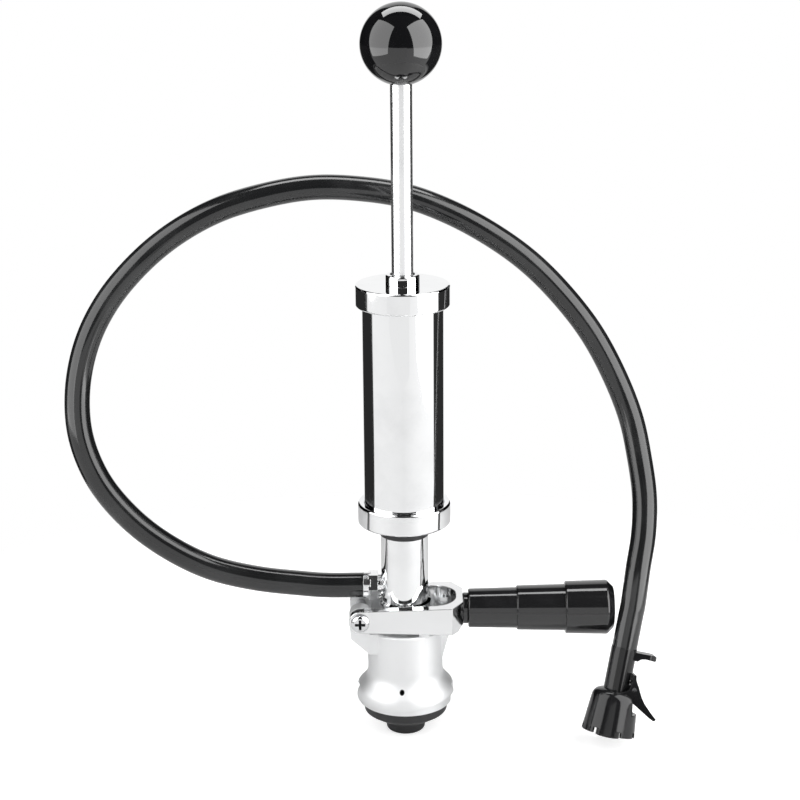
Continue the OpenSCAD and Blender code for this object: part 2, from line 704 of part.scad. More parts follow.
module bottom_cap() {
    r = cap_d / 2;
    z1 = pump_z + bottom_cap_h;
    color(chrome) rotate_extrude() polygon(concat(
        [[neck_thread_d / 2 + seat_gap, pump_z], [r - cap_round, pump_z]],
        arc(r - cap_round, pump_z + cap_round, cap_round, -90, 0, 6),
        arc(r - cap_round, z1 - cap_round, cap_round, 0, 90, 6),
        [[barrel_d / 2 + seat_gap, z1], [barrel_d / 2 + seat_gap, bottom_floor_z],
        [neck_thread_d / 2 + seat_gap, bottom_floor_z]]));
}

module valve_seat() {
    color(brass) tube(probe_bore_d - 2 * seat_gap, seat_hole_d, seat_z, seat_h);
}

module valve_disc() {
    color(rubber) translate([0, 0, disc_z]) cylinder(d = disc_d, h = disc_h);
}

module valve_spring() {
    color(dark_chrome) translate([0, 0, valve_spring_z]) coil(valve_spring_r, valve_spring_len, 4);
}

module valve_cage() {
    color(brass) difference() {
        translate([0, 0, cage_z]) cylinder(d = probe_bore_d - 2 * seat_gap, h = seat_z - cage_z);
        translate([0, 0, valve_spring_z]) cylinder(d = cage_bore_d, h = seat_z);
        for (a = [0:60:300]) rotate([0, 0, a]) translate([cage_bore_d / 4, 0, cage_z - 1])
            cylinder(d = cage_hole_d, h = cage_floor_h + 2, $fn = 24);
    }
}

module neck_gasket() {
    color(black) tube(neck_gasket_d, neck_thread_d + 2 * seat_gap, neck_top_z, neck_gasket_h);
}

module probe_outline() {
    shoulder = -nose_shoulder;
    polygon([[nose_bore_d / 2, -nose_reach], [nose_d / 2, -nose_reach], [nose_d / 2, shoulder],
        [probe_d / 2, shoulder], [probe_d / 2, collar_low_z], [(collar_d - edge_cut) / 2, collar_low_z],
        [collar_d / 2, collar_low_z + edge_cut / 2], [collar_d / 2, collar_low_z + collar_h],
        [groove_root_d / 2, collar_low_z + collar_h], [groove_root_d / 2, collar_high_z],
        [collar_d / 2, collar_high_z], [collar_d / 2, collar_high_z + collar_h - edge_cut],
        [neck_d / 2, collar_high_z + collar_h], [neck_d / 2, neck_top_z],
        [neck_thread_d / 2, neck_top_z], [neck_thread_d / 2, neck_thread_top_z],
        [probe_bore_d / 2, neck_thread_top_z], [probe_bore_d / 2, shoulder + nose_floor_h],
        [nose_bore_d / 2, shoulder + nose_floor_h]]);
}

module probe() {
    color(chrome) difference() {
        rotate_extrude() probe_outline();
        translate([0, 0, outlet_z]) rotate([0, -90, 0])
            cylinder(d = tail_thread_d + 2 * seat_gap, h = neck_d);
    }
}

module probe_ring(z) {
    color(rubber) rotate_extrude() translate([(probe_d + ring_wire_d) / 2, z])
        circle(d = ring_wire_d - 2 * run_gap, $fn = 32);
}

module probe_ring_upper() { probe_ring(ring_upper_z); }

module probe_ring_lower() { probe_ring(ring_lower_z); }

module probe_tip_seal() {
    r = tip_seal_d / 2;
    color(rubber) rotate_extrude() polygon(concat(
        [[nose_bore_d / 2, -tip_reach], [r - tip_round, -tip_reach]],
        arc(r - tip_round, tip_round - tip_reach, tip_round, -90, 0, 8),
        [[r, -nose_shoulder], [nose_d / 2 + seat_gap, -nose_shoulder],
        [nose_d / 2 + seat_gap, -nose_reach], [nose_bore_d / 2, -nose_reach]]));
}

module beer_tube() {
    color(dark_chrome) difference() {
        union() {
            translate([0, 0, edge_cut / 2 - tip_reach]) cylinder(d = beer_d, h = beer_head_z + tip_reach);
            translate([0, 0, beer_head_z]) cylinder(d = beer_head_d, h = beer_head_h);
        }
        translate([0, 0, -tip_reach]) cylinder(d = beer_bore_d, h = outlet_z + tip_reach);
        translate([0, 0, outlet_z]) rotate([0, -90, 0]) cylinder(d = beer_bore_d, h = neck_d);
        for (s = [-1, 1]) translate([0, s * air_way_y, beer_head_z - 1])
            cylinder(d = air_way_d, h = beer_head_h + 2, $fn = 32);
    }
}

module outlet_tail() {
    inner_x = beer_head_d / 2 + thread_short;
    wall_x = neck_d / 2 + run_gap;
    hex_x = hose_end_x - tail_collar_h - tail_hex_h;
    color(chrome) translate([0, 0, outlet_z]) rotate([0, -90, 0]) difference() {
        union() {
            translate([0, 0, inner_x]) cylinder(d = tail_thread_d, h = hose_end_x - inner_x);
            translate([0, 0, wall_x]) cylinder(d = tail_neck_d, h = hex_x - wall_x + 1);
            translate([0, 0, hex_x]) rotate([0, 0, 30]) cylinder(d = tail_hex_d, h = tail_hex_h, $fn = 6);
            translate([0, 0, hose_end_x - tail_collar_h - 1])
                cylinder(d = tail_collar_d, h = tail_collar_h + 1);
            barb(hose_end_x);
        }
        translate([0, 0, inner_x - 1]) cylinder(d = barb_bore_d, h = hose_end_x + barb_len);
    }
}

// A stepped barb that starts at z0 and runs up Z
module barb(z0) {
    step = barb_len / 4;
    r = barb_d / 2;
    root = r - barb_step;
    translate([0, 0, z0]) rotate_extrude() polygon(concat([[0, -1], [root, -1]],
        [for (i = [0:3]) for (p = [[r, i * step + barb_step / 2], [root, (i + 1) * step]]) p],
        [[0, barb_len]]));
}

module lug_gaps() {
    reach = lug_d;
    half = lug_gap_angle / 2;
    for (s = [0, 180]) rotate([0, 0, s]) difference() {
        translate([0, 0, -1]) linear_extrude(lug_h + 1)
            polygon([[0, 0], [reach, -reach * tan(half)], [reach, reach * tan(half)]]);
        translate([0, 0, -2]) cylinder(d = lug_root_d, h = lug_h + 4);
    }
}

// The space under each ramp, which rises one way round the body
module lug_ramps() {
    tilt = atan(lug_rise / lug_d);
    for (s = [0, 180]) rotate([0, 0, s]) difference() {
        translate([-lug_d / 2, 0, 0]) rotate([0, -tilt, 0])
            translate([-lug_d / 2, -lug_d, -lug_d]) cube([2 * lug_d, lug_d, lug_d]);
        translate([0, 0, -2 * lug_d]) cylinder(d = lug_d - 2 * ramp_depth, h = 4 * lug_d);
    }
}

module ear_side() {
    r = body_d / 2;
    translate([-hinge_x, hinge_z]) circle(d = knuckle_d);
    polygon([[-hinge_x - knuckle_r, hinge_z], [-hinge_x - knuckle_r + edge_cut, hinge_z - ear_wall_h],
        [1 - r, body_h - ear_root_h], [-r / 2, body_h - ear_root_h], [-r / 2, body_h],
        [1 - r, body_h], [-hinge_x + knuckle_r, hinge_z]]);
}

// Half of the body's outline: rounded lugs, a flare that sweeps in and the upright wall
module body_outline() {
    r = body_d / 2;
    lug_r = lug_d / 2;
    lip = lug_r - lug_bulge;
    top = lug_r + lug_bulge / 3;
    sweep = (lip - r) / 2;
    polygon(concat([[0, 0]],
        bend([lip, 0], [top, lug_h / 4], [top, 3 * lug_h / 4], [lip, lug_h], 8),
        bend([lip, lug_h], [lip - sweep, lug_h + sweep * 1.2], [r, (lug_h + flare_h) / 2], [r, flare_h], 8),
        [[r, body_h - edge_cut], [r - edge_cut, body_h], [0, body_h]]));
}

module coupler_body() {
    r = body_d / 2;
    yoke_slope = (yoke_end_h - knuckle_d) / 2 / (hinge_x + yoke_end_x);
    yoke_low = hinge_z - knuckle_r - yoke_slope * (hinge_x + r / 2);
    stop_y = yoke_inner_w / 2 + run_gap;
    color(chrome) difference() {
        union() {
            rotate_extrude() body_outline();
            for (s = [-1, 1]) translate([0, s * (ear_in + ear_out) / 2, 0]) side_plate(ear_out - ear_in)
                ear_side();
            side_plate(rib_w) polygon([[r / 2, body_h - rib_h], [r - edge_cut, body_h - rib_h],
                [r + rib_reach, body_h], [r / 2, body_h]]);
            for (s = [0, 1]) mirror([0, s, 0]) translate([(r - stop_len) / 2, stop_y, body_h - 1])
                cube([stop_len, stop_w, yoke_low - stop_gap - body_h + 1]);
        }
        lug_gaps();
        lug_ramps();
        translate([0, 0, vent_z]) rotate([90, 0, -vent_turn])
            translate([0, 0, lug_root_d / 2 - vent_depth])
            cylinder(d = vent_d, h = lug_d / 2, $fn = 24);
        translate([0, 0, -1]) cylinder(d = chamber_d, h = chamber_h + 1);
        cylinder(d = probe_d + 2 * run_gap, h = 2 * body_h);
        for (z = [ring_lower_z, ring_upper_z])
            tube(probe_d + 2 * ring_wire_d, probe_d - 1, z - ring_wire_d / 2, ring_wire_d);
        translate([-hinge_x, 0, hinge_z]) rotate([90, 0, 0])
            cylinder(d = screw_d + 2 * seat_gap, h = yoke_outer_w, center = true);
    }
}

module bottom_seal() {
    bore = probe_d / 2 + run_gap;
    color(rubber) rotate_extrude() polygon([
        [bore, seal_lip - seal_reach], [bore + seal_lip, -seal_reach],
        [seal_low_d / 2, -seal_reach], [seal_d / 2 - edge_cut, -seal_wall_h - edge_cut],
        [seal_d / 2, -seal_wall_h], [seal_d / 2, 0],
        [chamber_d / 2 - seat_gap, 0], [chamber_d / 2 - seat_gap, seal_plug_h], [bore, seal_plug_h]]);
}

module hinge_screw() {
    head_y = yoke_outer_w / 2 + run_gap;
    recess_z = head_y + screw_head_h - recess_depth;
    r = screw_head_d / 2;
    color(dark_chrome) translate([-hinge_x, 0, hinge_z]) rotate([90, 0, 0]) difference() {
        union() {
            translate([0, 0, -head_y - nut_h - screw_end_len])
                cylinder(d = screw_d, h = 2 * head_y + nut_h + screw_end_len);
            translate([0, 0, head_y]) rotate_extrude() polygon([[0, 0], [r, 0], [r, screw_head_h * 0.4],
                [r * 0.9, screw_head_h * 0.75], [r * 0.7, screw_head_h], [0, screw_head_h]]);
        }
        for (a = [0, 90]) rotate([0, 0, a]) translate([-recess_len / 2, -recess_w / 2, recess_z])
            cube([recess_len, recess_w, screw_head_h]);
    }
}

module hinge_nut() {
    color(dark_chrome) translate([-hinge_x, yoke_outer_w / 2 + run_gap + nut_h, hinge_z])
        rotate([90, 0, 0]) difference() {
            cylinder(d = nut_d, h = nut_h, $fn = 6);
            translate([0, 0, -1]) cylinder(d = screw_d + 2 * seat_gap, h = nut_h + 2);
        }
}

// Plan of the yoke's outside, with a flat over each corner at its right end
module yoke_outside() {
    w = yoke_outer_w / 2;
    left = -hinge_x - knuckle_d;
    polygon([[left, -w], [yoke_end_x - yoke_cut_x, -w], [yoke_end_x, yoke_cut_y - w],
        [yoke_end_x, w - yoke_cut_y], [yoke_end_x - yoke_cut_x, w], [left, w]]);
}

// Plan of the yoke's inside, open to the left, with round corners at its right end
module yoke_inside() {
    w = yoke_inner_w;
    left = hinge_x + knuckle_d + 1;
    end_x = yoke_end_x - yoke_end_t;
    translate([-left, -w / 2]) square([left + end_x - yoke_round, w]);
    translate([-left, yoke_round - w / 2]) square([left + end_x, w - 2 * yoke_round]);
    for (s = [-1, 1]) translate([end_x - yoke_round, s * (w / 2 - yoke_round)]) circle(r = yoke_round);
}

module lever_yoke() {
    low = hinge_z - yoke_end_h / 2;
    color(chrome) difference() {
        intersection() {
            linear_extrude(2 * hinge_z) difference() {
                yoke_outside();
                yoke_inside();
            }
            side_plate(2 * yoke_outer_w) union() {
                translate([-hinge_x, hinge_z]) circle(d = knuckle_d);
                polygon([[-hinge_x, hinge_z - knuckle_r], [yoke_end_x - yoke_slant, low],
                    [yoke_end_x, low + yoke_slant], [yoke_end_x, hinge_z + yoke_end_h / 2],
                    [-hinge_x, hinge_z + knuckle_r]]);
            }
        }
        translate([-hinge_x, 0, hinge_z]) rotate([90, 0, 0])
            cylinder(d = screw_d + 2 * run_gap, h = 2 * yoke_outer_w, center = true);
        translate([0, 0, hinge_z]) rotate([90, 0, 0])
            cylinder(d = drive_pin_d + 2 * seat_gap, h = yoke_inner_w + 2 * drive_pin_seat, center = true);
        translate([0, 0, hinge_z]) along_x() cylinder(d = stud_d + 2 * seat_gap, h = 2 * yoke_end_x);
    }
}

module drive_pin(side) {
    color(dark_chrome) translate([0, side * (yoke_inner_w / 2 - drive_pin_reach), hinge_z])
        rotate([-90 * side, 0, 0])
            cylinder(d = drive_pin_d, h = drive_pin_reach + drive_pin_seat - seat_gap);
}

module drive_pin_front() { drive_pin(-1); }

module drive_pin_rear() { drive_pin(1); }

module handle_stud() {
    color(dark_chrome) translate([stud_in_x, 0, hinge_z]) along_x() cylinder(d = stud_d, h = stud_len);
}

module handle_collar() {
    r = grip_collar_d / 2;
    color(black) translate([yoke_end_x, 0, hinge_z]) along_x() rotate_extrude()
        polygon([[stud_d / 2 + seat_gap, 0], [r - edge_cut, 0], [r, edge_cut],
            [r, grip_collar_h - edge_cut], [r - edge_cut, grip_collar_h],
            [stud_d / 2 + seat_gap, grip_collar_h]]);
}

module handle_grip() {
    bore = stud_d / 2 + seat_gap;
    step = grip_step;
    e = grip_edge;
    g = grip_growth / 2;
    r = [grip_d1 / 2, grip_d2 / 2, grip_d3 / 2];
    end = 3 * step;
    crown = r[2] + g - grip_chamfer;
    color(black) translate([grip_x, 0, hinge_z]) along_x() rotate_extrude() polygon(concat([[bore, 0]],
        [for (i = [0, 1]) for (p = [[r[i] - e, i * step], [r[i], i * step + e],
            [r[i] + g, (i + 1) * step - e / 2], [r[i] + g - e / 2, (i + 1) * step]]) p],
        [[r[2] - e, 2 * step], [r[2], 2 * step + e], [r[2] + g, end - grip_chamfer]],
        arc(crown, end - grip_chamfer, grip_chamfer, 15, 75, 5),
        [[crown - grip_chamfer, end], [0, end], [0, grip_bore_len], [bore, grip_bore_len]]));
}

module hose() {
    n = hose_sides;
    m = len(hose_line);
    ways = [for (i = [0:hose_last]) hose_way(i)];
    outer = ring_points(hose_line, ways, hose_d / 2, n);
    inner = ring_points(hose_line, ways, hose_bore_d / 2, n);
    s = m * n;
    color(smoke) polyhedron(points = concat(outer, inner), faces = concat(
        wall_faces(m, n, 0, false), wall_faces(m, n, s, true),
        rim_faces(0, s, n, false), rim_faces(s - n, 2 * s - n, n, true)), convexity = 10);
}

// Places a form made with the hose's end face at z = 0 and the spout down
module tap_place() { translate(tap_at) rotate([-tap_tilt, tap_lean, 0]) children(); }

// The tap's skirt, with its window for the thumb lever and the notches in its rim
module bell() {
    w = bell_wall;
    r0 = bell_top_d / 2;
    r1 = bell_d / 2;
    root = tap_neck_d / 2;
    low = -bell_top - bell_round;
    side_w = blade_w + 2 * window_gap;
    difference() {
        rotate_extrude() polygon(concat([[root - 1, -bell_top]],
            bend([root + 0.8, -bell_top], [r0 - 1.6, -bell_top - 0.6], [r0 - 0.2, low + 2.8], [r0, low], 6),
            [[r1, -bell_low], [r1 - w, -bell_low]],
            bend([r0 - w, low], [r0 - w - 0.2, low + 2], [r0 - w - 1.2, -bell_top - w],
                [root, -bell_top - w], 4),
            [[root - 1, -bell_top - w]]));
        translate([root, -side_w / 2, -window_low]) cube([bell_d, side_w, window_low]);
        translate([-window_gap, -side_w / 2, -tap_seat - tap_seat_h]) cube([bell_d, side_w, tap_seat]);
        for (i = [0:notch_n - 1]) rotate([0, 0, notch_turn + 360 * i / notch_n])
            translate([spout_d / 2, -notch_w / 2, -bell_low - 1]) cube([bell_d, notch_w, notch_h + 1]);
    }
}

// The finger tab, thinner behind its rounded tip
module finger_tab() {
    top = -tab_drop;
    low = top - tab_t;
    x = tab_reach;
    root = tap_neck_d / 2;
    intersection() {
        side_plate(tab_w) polygon([[0, top], [x - 1.7, top], [x - 0.4, top - 0.7], [x, top - 1.6],
            [x - 0.3, top - 2.5], [x - 1.2, low - 0.5], [x - 2.9, low - 0.2], [x - 6, low],
            [root + 2.2, low - 0.3], [root + 0.6, top - tab_root_t], [0, top - tab_root_t]]);
        translate([0, 0, top - 2 * tab_root_t]) linear_extrude(3 * tab_root_t) union() {
            translate([0, -tab_w / 2]) square([x - tab_w / 2, tab_w]);
            translate([x - tab_w / 2, 0]) circle(d = tab_w);
        }
    }
}

// Side view of a lug that holds the lever's pin, grown all round and further down by two gaps
module lug_side(grow, down) {
    r = tap_lug_d / 2 + grow;
    translate([tap_pin_x, -tap_pin_z]) circle(r = r);
    translate([0, -tap_pin_z - r - down]) square([tap_pin_x, 2 * r + down]);
}

module tap_body() {
    z_seat = -tap_seat;
    neck_low = tap_seat + tap_seat_h;
    slot_h = finger_h + 2 * finger_room;
    slot_w = finger_w + 2 * finger_side;
    rib_z = -bell_low + notch_h + 1;
    color(black) tap_place() difference() {
        union() {
            barb(0);
            difference() {
                translate([0, 0, -neck_low]) cylinder(d = tap_neck_d, h = neck_low);
                translate([tap_flat_x, -tap_neck_d, -neck_low])
                    cube([tap_neck_d, 2 * tap_neck_d, neck_low - tap_flat_top]);
            }
            translate([0, 0, -spout_low]) cylinder(d = spout_d, h = spout_low - neck_low + 1);
            bell();
            finger_tab();
            for (s = [-1, 1]) translate([0, s * (tap_lug_in + tap_lug_t / 2), 0]) side_plate(tap_lug_t)
                lug_side(0, 0);
            for (a = [60, 180, 300]) rotate([0, 0, a])
                translate([(spout_d - edge_cut) / 2, -bell_rib_t / 2, rib_z])
                    cube([(bell_top_d - spout_d) / 2, bell_rib_t, bell_rib_h]);
        }
        translate([0, 0, z_seat]) cylinder(d = tap_bore_d, h = tap_seat - tap_roof);
        translate([0, 0, -neck_low - 1]) cylinder(d = tap_seat_hole_d, h = tap_seat_h + 2);
        translate([0, 0, -spout_low - 1]) cylinder(d = spout_bore_d, h = spout_low - neck_low + 1);
        translate([0, 0, -tap_roof - 1]) cylinder(d = barb_bore_d, h = barb_len + tap_roof + 2);
        translate([1, -slot_w / 2, -tap_pin_z - slot_h / 2]) cube([tap_neck_d / 2, slot_w, slot_h]);
        translate([tap_pin_x, 0, -tap_pin_z]) rotate([90, 0, 0])
            cylinder(d = tap_pin_d + 2 * seat_gap, h = 2 * blade_w, center = true, $fn = 32);
    }
}

module tap_stem() {
    low = tap_seat - stem_seal_h - seat_gap;
    groove_z = -tap_pin_z - stem_groove_h / 2;
    color(dark_chrome) tap_place() difference() {
        union() {
            translate([0, 0, -stem_shoulder]) cylinder(d = stem_d, h = stem_shoulder - stem_top);
            translate([0, 0, -low]) cylinder(d = stem_low_d, h = low - stem_shoulder);
        }
        tube(stem_d + 2, stem_groove_d, groove_z, stem_groove_h);
        translate([0, 0, stem_floor_h - low]) cylinder(d = stem_bore_d, h = low);
        for (a = [0, 90]) rotate([90, 0, a]) translate([0, stem_floor_h + 0.75 * stem_port_d - low, 0])
            cylinder(d = stem_port_d, h = stem_d, center = true, $fn = 24);
    }
}

module tap_stem_seal() {
    color(rubber) tap_place() translate([0, 0, seat_gap - tap_seat])
        cylinder(d = stem_seal_d, h = stem_seal_h);
}

module tap_spring() {
    color(dark_chrome) tap_place() translate([0, 0, spring_end_gap - stem_top])
        coil((tap_bore_d - wire_d) / 2 - spring_side_gap, stem_top - tap_roof - 2 * spring_end_gap, 3);
}

// Side view of the thumb lever round its pin: its outer edge from the neck to the tip, and the inner
// edges of its blade and of its two cheeks from the tip back to the neck
blade_outer = [[-0.3, 7], [0, 5], [0.9, 3.2], [2, 1.4], [2.8, -0.4], [4.2, -3], [5.9, -5.4], [8, -7.6],
    [10.4, -9.9], [12.8, -12], [12.3, -12.9]];
blade_inner = [[11.4, -12.9], [9.4, -11.1], [6.8, -8.8], [4.6, -6.8], [2.6, -4.6], [0.7, -1.6],
    [-0.6, 0.8], [-1.6, 3.4], [-1.6, 7]];
cheek_inner = [[11.4, -12.9], [8.8, -11.6], [1.6, -7.2], [-2.6, -4.9], [-7, -3.5], [-7, -2.8],
    [-4.6, -2], [-2.8, -0.8], [-1.9, 1.6], [-1.6, 3.9], [-1.6, 7]];

module tap_lever() {
    x = tap_pin_x;
    z = -tap_pin_z;
    color(black) tap_place() difference() {
        union() {
            difference() {
                side_plate(blade_w) translate([x, z]) polygon(concat(blade_outer, blade_inner));
                for (s = [-1, 1]) translate([0, s * (tap_lug_in + tap_lug_t / 2), 0])
                    side_plate(tap_lug_t + 2 * tap_lug_gap) lug_side(tap_lug_gap, tap_lug_room);
            }
            for (s = [-1, 1]) translate([0, s * (blade_w - cheek_t) / 2, 0])
                side_plate(cheek_t) translate([x, z]) polygon(concat(blade_outer, cheek_inner));
            side_plate(2 * (tap_lug_in - tap_lug_gap)) translate([x, z]) circle(d = tap_hub_d);
            translate([finger_tip_x, -finger_w / 2, z - finger_h / 2])
                cube([x - finger_tip_x, finger_w, finger_h]);
        }
        translate([x, 0, z]) rotate([90, 0, 0])
            cylinder(d = tap_pin_d + 2 * run_gap, h = 2 * blade_w, center = true, $fn = 32);
    }
}

module tap_pin() {
    color(dark_chrome) tap_place() translate([tap_pin_x, 0, -tap_pin_z]) rotate([90, 0, 0])
        cylinder(d = tap_pin_d, h = 2 * (tap_lug_in + tap_lug_t), center = true, $fn = 32);
}

knob();
knob_insert();
pump_rod();
rod_bumper();
piston_plate();
piston_cup();
piston_washer();
piston_nut();
rod_gland();
rod_wiper();
top_cap();
barrel();
barrel_gasket();
bottom_cap();
valve_seat();
valve_disc();
valve_spring();
valve_cage();
neck_gasket();
probe();
probe_ring_upper();
probe_ring_lower();
probe_tip_seal();
beer_tube();
outlet_tail();
coupler_body();
bottom_seal();
hinge_screw();
hinge_nut();
lever_yoke();
drive_pin_front();
drive_pin_rear();
handle_stud();
handle_collar();
handle_grip();
hose();
tap_body();
tap_stem();
tap_stem_seal();
tap_spring();
tap_lever();
tap_pin();
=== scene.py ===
"""Dress a keg party pump: a chrome hand pump on a lever coupler, with a black knob, grip, hose and squeeze tap.

Every size is in millimetres in the classes and becomes metres where a mesh is made. Z runs up the pump's axis,
X runs out along the lever, and z = 0 is the plane where the keg's neck seats.
"""

from __future__ import annotations

import json
import logging
import math
from dataclasses import dataclass, field
from enum import Enum
from typing import Any, Callable, ClassVar, Sequence, Union

import bpy
import numpy as np
from mathutils import Matrix, Quaternion, Vector

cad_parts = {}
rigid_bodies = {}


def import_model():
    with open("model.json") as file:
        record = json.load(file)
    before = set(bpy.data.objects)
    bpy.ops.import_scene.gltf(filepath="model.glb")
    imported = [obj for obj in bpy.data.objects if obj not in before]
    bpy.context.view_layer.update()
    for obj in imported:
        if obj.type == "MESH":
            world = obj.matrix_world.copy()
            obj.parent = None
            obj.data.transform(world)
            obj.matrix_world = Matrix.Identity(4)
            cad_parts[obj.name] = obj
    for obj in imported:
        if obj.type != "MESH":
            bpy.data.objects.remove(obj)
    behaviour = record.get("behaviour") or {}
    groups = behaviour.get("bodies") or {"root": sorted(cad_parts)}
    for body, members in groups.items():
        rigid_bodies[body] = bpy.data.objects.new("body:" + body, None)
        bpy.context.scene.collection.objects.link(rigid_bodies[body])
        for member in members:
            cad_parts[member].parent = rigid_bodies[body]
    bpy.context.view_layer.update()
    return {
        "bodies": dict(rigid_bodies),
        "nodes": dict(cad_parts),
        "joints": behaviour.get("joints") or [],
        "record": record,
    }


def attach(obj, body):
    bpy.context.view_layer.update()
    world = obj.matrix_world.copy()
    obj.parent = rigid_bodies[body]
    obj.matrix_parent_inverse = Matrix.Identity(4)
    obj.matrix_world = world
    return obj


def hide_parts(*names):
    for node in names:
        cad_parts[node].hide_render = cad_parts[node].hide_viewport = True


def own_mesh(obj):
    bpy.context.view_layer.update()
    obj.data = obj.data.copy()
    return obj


MM = 0.001
WELD_M = 2e-7
POLE_MM = 1e-6
DEGREE = math.pi / 180
Colour = tuple[float, float, float]
WHITE: Colour = (1.0, 1.0, 1.0)
# Painted shade: the near-black colour painted into holes and recesses, where shade falls.
HOLE_PAINTED_SHADE: Colour = (0.02, 0.02, 0.022)
log = logging.getLogger("keg_pump")


def maths(operation: str, swapped: bool = False) -> Callable[..., "Sock"]:
    """Return a method that adds one Math node on a socket and a value.

    Args:
        operation: The Math node's operation.
        swapped: True where the value comes first, as in 1 - mask.

    Returns:
        The method, whose value is left out for an operation on one number.
    """
    def method(self: "Sock", other: "Value" = 0.0) -> "Sock":
        """Add the node and return its result."""
        first, second = (other, self) if swapped else (self, other)
        return self.graph.node("ShaderNodeMath", {"operation": operation}, {0: first, 1: second}).out(0)
    return method


class Sock:
    """A shader socket whose arithmetic adds Math nodes to its graph."""

    __add__ = __radd__ = maths("ADD")
    __sub__ = maths("SUBTRACT")
    __rsub__ = maths("SUBTRACT", True)
    __mul__ = __rmul__ = maths("MULTIPLY")
    __truediv__ = maths("DIVIDE")
    __rtruediv__ = maths("DIVIDE", True)
    __pow__ = maths("POWER")
    __rpow__ = maths("POWER", True)
    __abs__ = maths("ABSOLUTE")
    arccos = maths("ARCCOSINE")
    root = maths("SQRT")

    def __init__(self, graph: "Graph", socket: bpy.types.NodeSocket) -> None:
        """Wrap an output socket of a graph's node."""
        self.graph = graph
        self.socket = socket

    def __neg__(self) -> "Sock":
        """Return -self."""
        return self * -1.0

    def ease(self, low: float, high: float) -> "Sock":
        """Return 0 below low and 1 above high, with a smooth step between them.

        Args:
            low: Value where the step starts.
            high: Value where the step ends.

        Returns:
            The eased share.
        """
        settings = {"interpolation_type": "SMOOTHSTEP"}
        inputs = {"Value": self, "From Min": low, "From Max": high, "To Min": 0.0, "To Max": 1.0}
        return self.graph.node("ShaderNodeMapRange", settings, inputs).out(0)

    def band(self, low: float, high: float, soft: float) -> "Sock":
        """Return 1 between low and high, fading to 0 over a soft edge outside both.

        Args:
            low: Lower edge of the band.
            high: Upper edge of the band.
            soft: Width of each fading edge.

        Returns:
            The band's mask.
        """
        return self.ease(low - soft, low) * (1 - self.ease(high, high + soft))


Value = Union[Sock, float]


class NodeBox:
    """A made node, with its outputs as wrapped sockets."""

    def __init__(self, graph: "Graph", node: bpy.types.Node) -> None:
        """Keep the node and its graph."""
        self.graph = graph
        self.node = node

    def out(self, key: Union[int, str]) -> Sock:
        """Return one output, by place or name."""
        return Sock(self.graph, self.node.outputs[key])


class Graph:
    """A shader tree that is written as Python expressions."""

    def __init__(self, tree: bpy.types.NodeTree) -> None:
        """Empty the tree and take it over."""
        self.tree = tree
        tree.nodes.clear()

    def node(self, kind: str, settings: dict[str, Any] | None = None,
             inputs: dict[Union[int, str], Any] | None = None) -> NodeBox:
        """Make a node, set its settings first and then fill or link its sockets.

        Args:
            kind: The node's type.
            settings: Attributes of the node.
            inputs: Values or sockets by the input's place or name.

        Returns:
            The boxed node.
        """
        made = self.tree.nodes.new(kind)
        for key, value in (settings or {}).items():
            setattr(made, key, value)
        for key, value in (inputs or {}).items():
            if isinstance(value, Sock):
                self.tree.links.new(value.socket, made.inputs[key])
            elif isinstance(value, tuple) and len(value) == 3 and made.inputs[key].type == "RGBA":
                made.inputs[key].default_value = (*value, 1.0)
            else:
                made.inputs[key].default_value = value
        return NodeBox(self, made)

    def spot(self, stretch: Colour = (1.0, 1.0, 1.0), turn: Colour = (0.0, 0.0, 0.0)) -> Sock:
        """Return Object coordinates in metres, turned and then stretched along each axis.

        Args:
            stretch: Factor on each axis.
            turn: Turn about each axis, in radians.

        Returns:
            The vector socket.
        """
        place = self.node("ShaderNodeTexCoord").out("Object")
        return self.node("ShaderNodeMapping", {"vector_type": "POINT"},
                         {"Vector": place, "Rotation": turn, "Scale": stretch}).out(0)

    def noise(self, where: Sock, scale: float, detail: float = 3.0, rough: float = 0.5) -> Sock:
        """Return a noise value from 0 to 1, with features of about 1 / scale."""
        return self.node("ShaderNodeTexNoise", {"noise_dimensions": "3D"},
                         {"Vector": where, "Scale": scale, "Detail": detail, "Roughness": rough}).out(0)

    def cells(self, where: Sock, scale: float) -> Sock:
        """Return the distance to the nearest of scattered points, in cells of about 1 / scale."""
        return self.node("ShaderNodeTexVoronoi", {}, {"Vector": where, "Scale": scale}).out("Distance")

    def mix(self, share: Value, low: Union[Sock, Colour], high: Union[Sock, Colour]) -> Sock:
        """Blend two colours: low where share is 0, high where it is 1."""
        return self.node("ShaderNodeMix", {"data_type": "RGBA"}, {0: share, 6: low, 7: high}).out(2)

    def split(self, vector: Sock) -> tuple[Sock, Sock, Sock]:
        """Return a vector's three parts."""
        box = self.node("ShaderNodeSeparateXYZ", {}, {0: vector})
        return box.out(0), box.out(1), box.out(2)

    def bump(self, height: Sock, strength: float, depth_mm: float, under: Sock | None = None) -> Sock:
        """Return a normal bumped by a height, over another normal where one is given."""
        inputs: dict[Union[int, str], Any] = {"Height": height, "Strength": strength, "Distance": depth_mm * MM}
        if under is not None:
            inputs["Normal"] = under
        return self.node("ShaderNodeBump", {}, inputs).out(0)

    def soft_edges(self, radius_mm: float) -> Sock | None:
        """Return a normal that rounds sharp edges to a radius, or None where there is no radius."""
        if not radius_mm:
            return None
        return self.node("ShaderNodeBevel", {"samples": 6}, {"Radius": radius_mm * MM}).out(0)

    def surface(self, **inputs: Any) -> None:
        """Link a Principled shader, its sockets given by name with _ for a space, to the output."""
        named = {key.replace("_", " "): value for key, value in inputs.items()}
        shader = self.node("ShaderNodeBsdfPrincipled", {}, named)
        self.node("ShaderNodeOutputMaterial", {}, {"Surface": shader.out(0)})


def new_material(name: str) -> tuple[bpy.types.Material, Graph]:
    """Make an empty node material.

    Args:
        name: The material's name.

    Returns:
        The material and its graph.
    """
    material = bpy.data.materials.new(name)
    material.use_nodes = True
    return material, Graph(material.node_tree)


